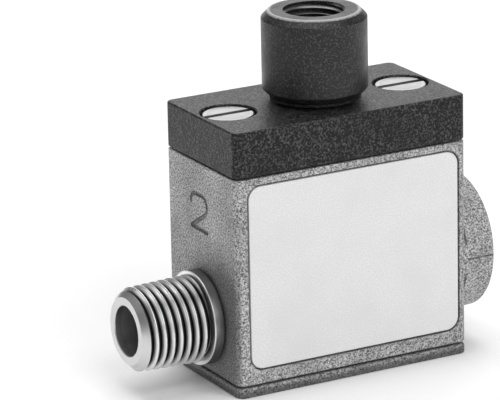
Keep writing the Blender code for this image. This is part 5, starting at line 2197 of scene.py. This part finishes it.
@dataclass(frozen=True)
class SoftLight:
    """A square area light that looks at the object."""

    name: str  # Name of the light
    azimuth: float  # Direction round the object, 0 from the front and 90 from the right
    elevation: float  # Height above the horizon
    distance: float  # Distance from the object
    size: float  # Side of the light
    power: float  # Power in watts

    def make(self, target: Vector) -> None:
        """Add the light to the scene, turned to a target.

        Args:
            target: The point that it looks at.
        """
        light = bpy.data.lights.new(self.name, "AREA")
        light.size = self.size
        light.energy = self.power
        lamp = bpy.data.objects.new(self.name, light)
        bpy.context.scene.collection.objects.link(lamp)
        away = direction(math.radians(self.azimuth), math.radians(self.elevation))
        lamp.location = target + away * self.distance
        lamp.rotation_mode = "QUATERNION"
        lamp.rotation_quaternion = (-away).to_track_quat("-Z", "Y")


@dataclass
class Studio:
    """Pale floor, soft light and the camera at the photograph's viewing angle."""

    azimuth: float = math.radians(-28.542)  # Camera's direction round the object, 0 from the front
    elevation: float = math.radians(17.479)  # Camera's height above the horizon
    roll: float = math.radians(-1.211)  # Camera's turn about its own view
    distance: float = 614.5 * MM  # Distance from the origin along the view
    # Camera's shift to its own right and up, from the line through the origin
    aim: tuple[float, float] = (-10.7 * MM, 24.0 * MM)
    focal_pixels: float = 3981.7  # Focal length in pixels of the image's width
    image_width: float = 500.0  # Width of the image in pixels
    sensor: float = 36.0  # Width of the sensor in millimetres
    clip: tuple[float, float] = (0.01, 20.0)  # Nearest and farthest distance that the camera sees
    floor_side: float = 6.0  # Side of the floor
    floor_colour: Colour = (0.97, 0.97, 0.97)  # Colour of the floor
    floor_roughness: float = 0.85  # Roughness of the floor
    floor_specular: float = 0.2  # Strength of the floor's reflection
    world_strength: float = 0.2  # Strength of the even light from all sides
    # The soft lights
    lights: tuple[SoftLight, ...] = (
        SoftLight("front_soft", 8.0, 38.0, 0.9, 0.8, 4.9),
        SoftLight("left_soft", -125.0, 10.0, 0.9, 0.45, 0.7),
        SoftLight("back_soft", 151.0, 20.0, 0.9, 0.8, 2.4),
        SoftLight("top_soft", 170.0, 78.0, 0.9, 0.9, 6.4),
    )

    def build(self) -> None:
        """Build the floor, the world, the lights and the camera."""
        self.build_floor()
        self.build_world()
        middle = (CAD_BOX[0] + CAD_BOX[1]) / 2
        for light in self.lights:
            light.make(middle)
        self.build_camera()
        view = bpy.context.scene.view_settings
        view.view_transform = "Standard"
        view.look = "None"

    def build_floor(self) -> None:
        """Build the plain floor at the object's lowest level."""
        half, level = self.floor_side / 2, CAD_BOX[0].z
        corners = ((-half, -half), (half, -half), (half, half), (-half, half))
        mesh = bpy.data.meshes.new("floor")
        mesh.from_pydata([(*corner, level) for corner in corners], [], [(0, 1, 2, 3)])
        graph = Graph("pale_floor")
        graph.feed(graph.shader.inputs["Base Color"], self.floor_colour)
        graph.feed(graph.shader.inputs["Roughness"], self.floor_roughness)
        graph.feed(graph.shader.inputs["Specular IOR Level"], self.floor_specular)
        mesh.materials.append(graph.material)
        floor = bpy.data.objects.new("floor", mesh)
        bpy.context.scene.collection.objects.link(floor)

    def build_world(self) -> None:
        """Set an even pale world."""
        world = bpy.data.worlds.new("pale_world")
        world.use_nodes = True
        background = world.node_tree.nodes["Background"]
        background.inputs["Color"].default_value = (1.0, 1.0, 1.0, 1.0)
        background.inputs["Strength"].default_value = self.world_strength
        bpy.context.scene.world = world

    def build_camera(self) -> None:
        """Place the camera from its angles, distance and aim.

        The camera's back axis points from the object to the camera. Its right and up
        axes are level and upright first, then turned about the back axis by the roll.
        """
        back = direction(self.azimuth, self.elevation)
        level = Vector((math.cos(self.azimuth), math.sin(self.azimuth), 0.0))
        upright = back.cross(level)
        right = math.cos(self.roll) * level + math.sin(self.roll) * upright
        up = math.cos(self.roll) * upright - math.sin(self.roll) * level
        data = bpy.data.cameras.new("camera")
        data.sensor_width = self.sensor
        data.lens = self.focal_pixels / self.image_width * self.sensor
        data.clip_start, data.clip_end = self.clip
        camera = bpy.data.objects.new("camera", data)
        bpy.context.scene.collection.objects.link(camera)
        place = back * self.distance + right * self.aim[0] + up * self.aim[1]
        turn = Matrix((right, up, back)).transposed().to_4x4()
        camera.matrix_world = Matrix.Translation(place) @ turn
        bpy.context.scene.camera = camera


def main() -> None:
    """Build every sub-assembly and the studio."""
    logging.basicConfig(level=logging.INFO, format="%(message)s")

    block = ValveBlock()
    block.dress(block.build())
    name_plate = NamePlate()
    name_plate.dress(name_plate.build())
    bottom = BottomPlate()
    bottom.dress(bottom.build())
    cover = PilotCover()
    cover.dress(cover.build())
    for screw in BOTTOM_SCREWS + COVER_SCREWS:
        screw.build()
    connection = PilotConnection()
    connection.dress(connection.build())
    male_thread = MaleThread()
    male_thread.dress(male_thread.build())
    Mechanism().build()
    Studio().build()


if __name__ == "__main__":
    main()
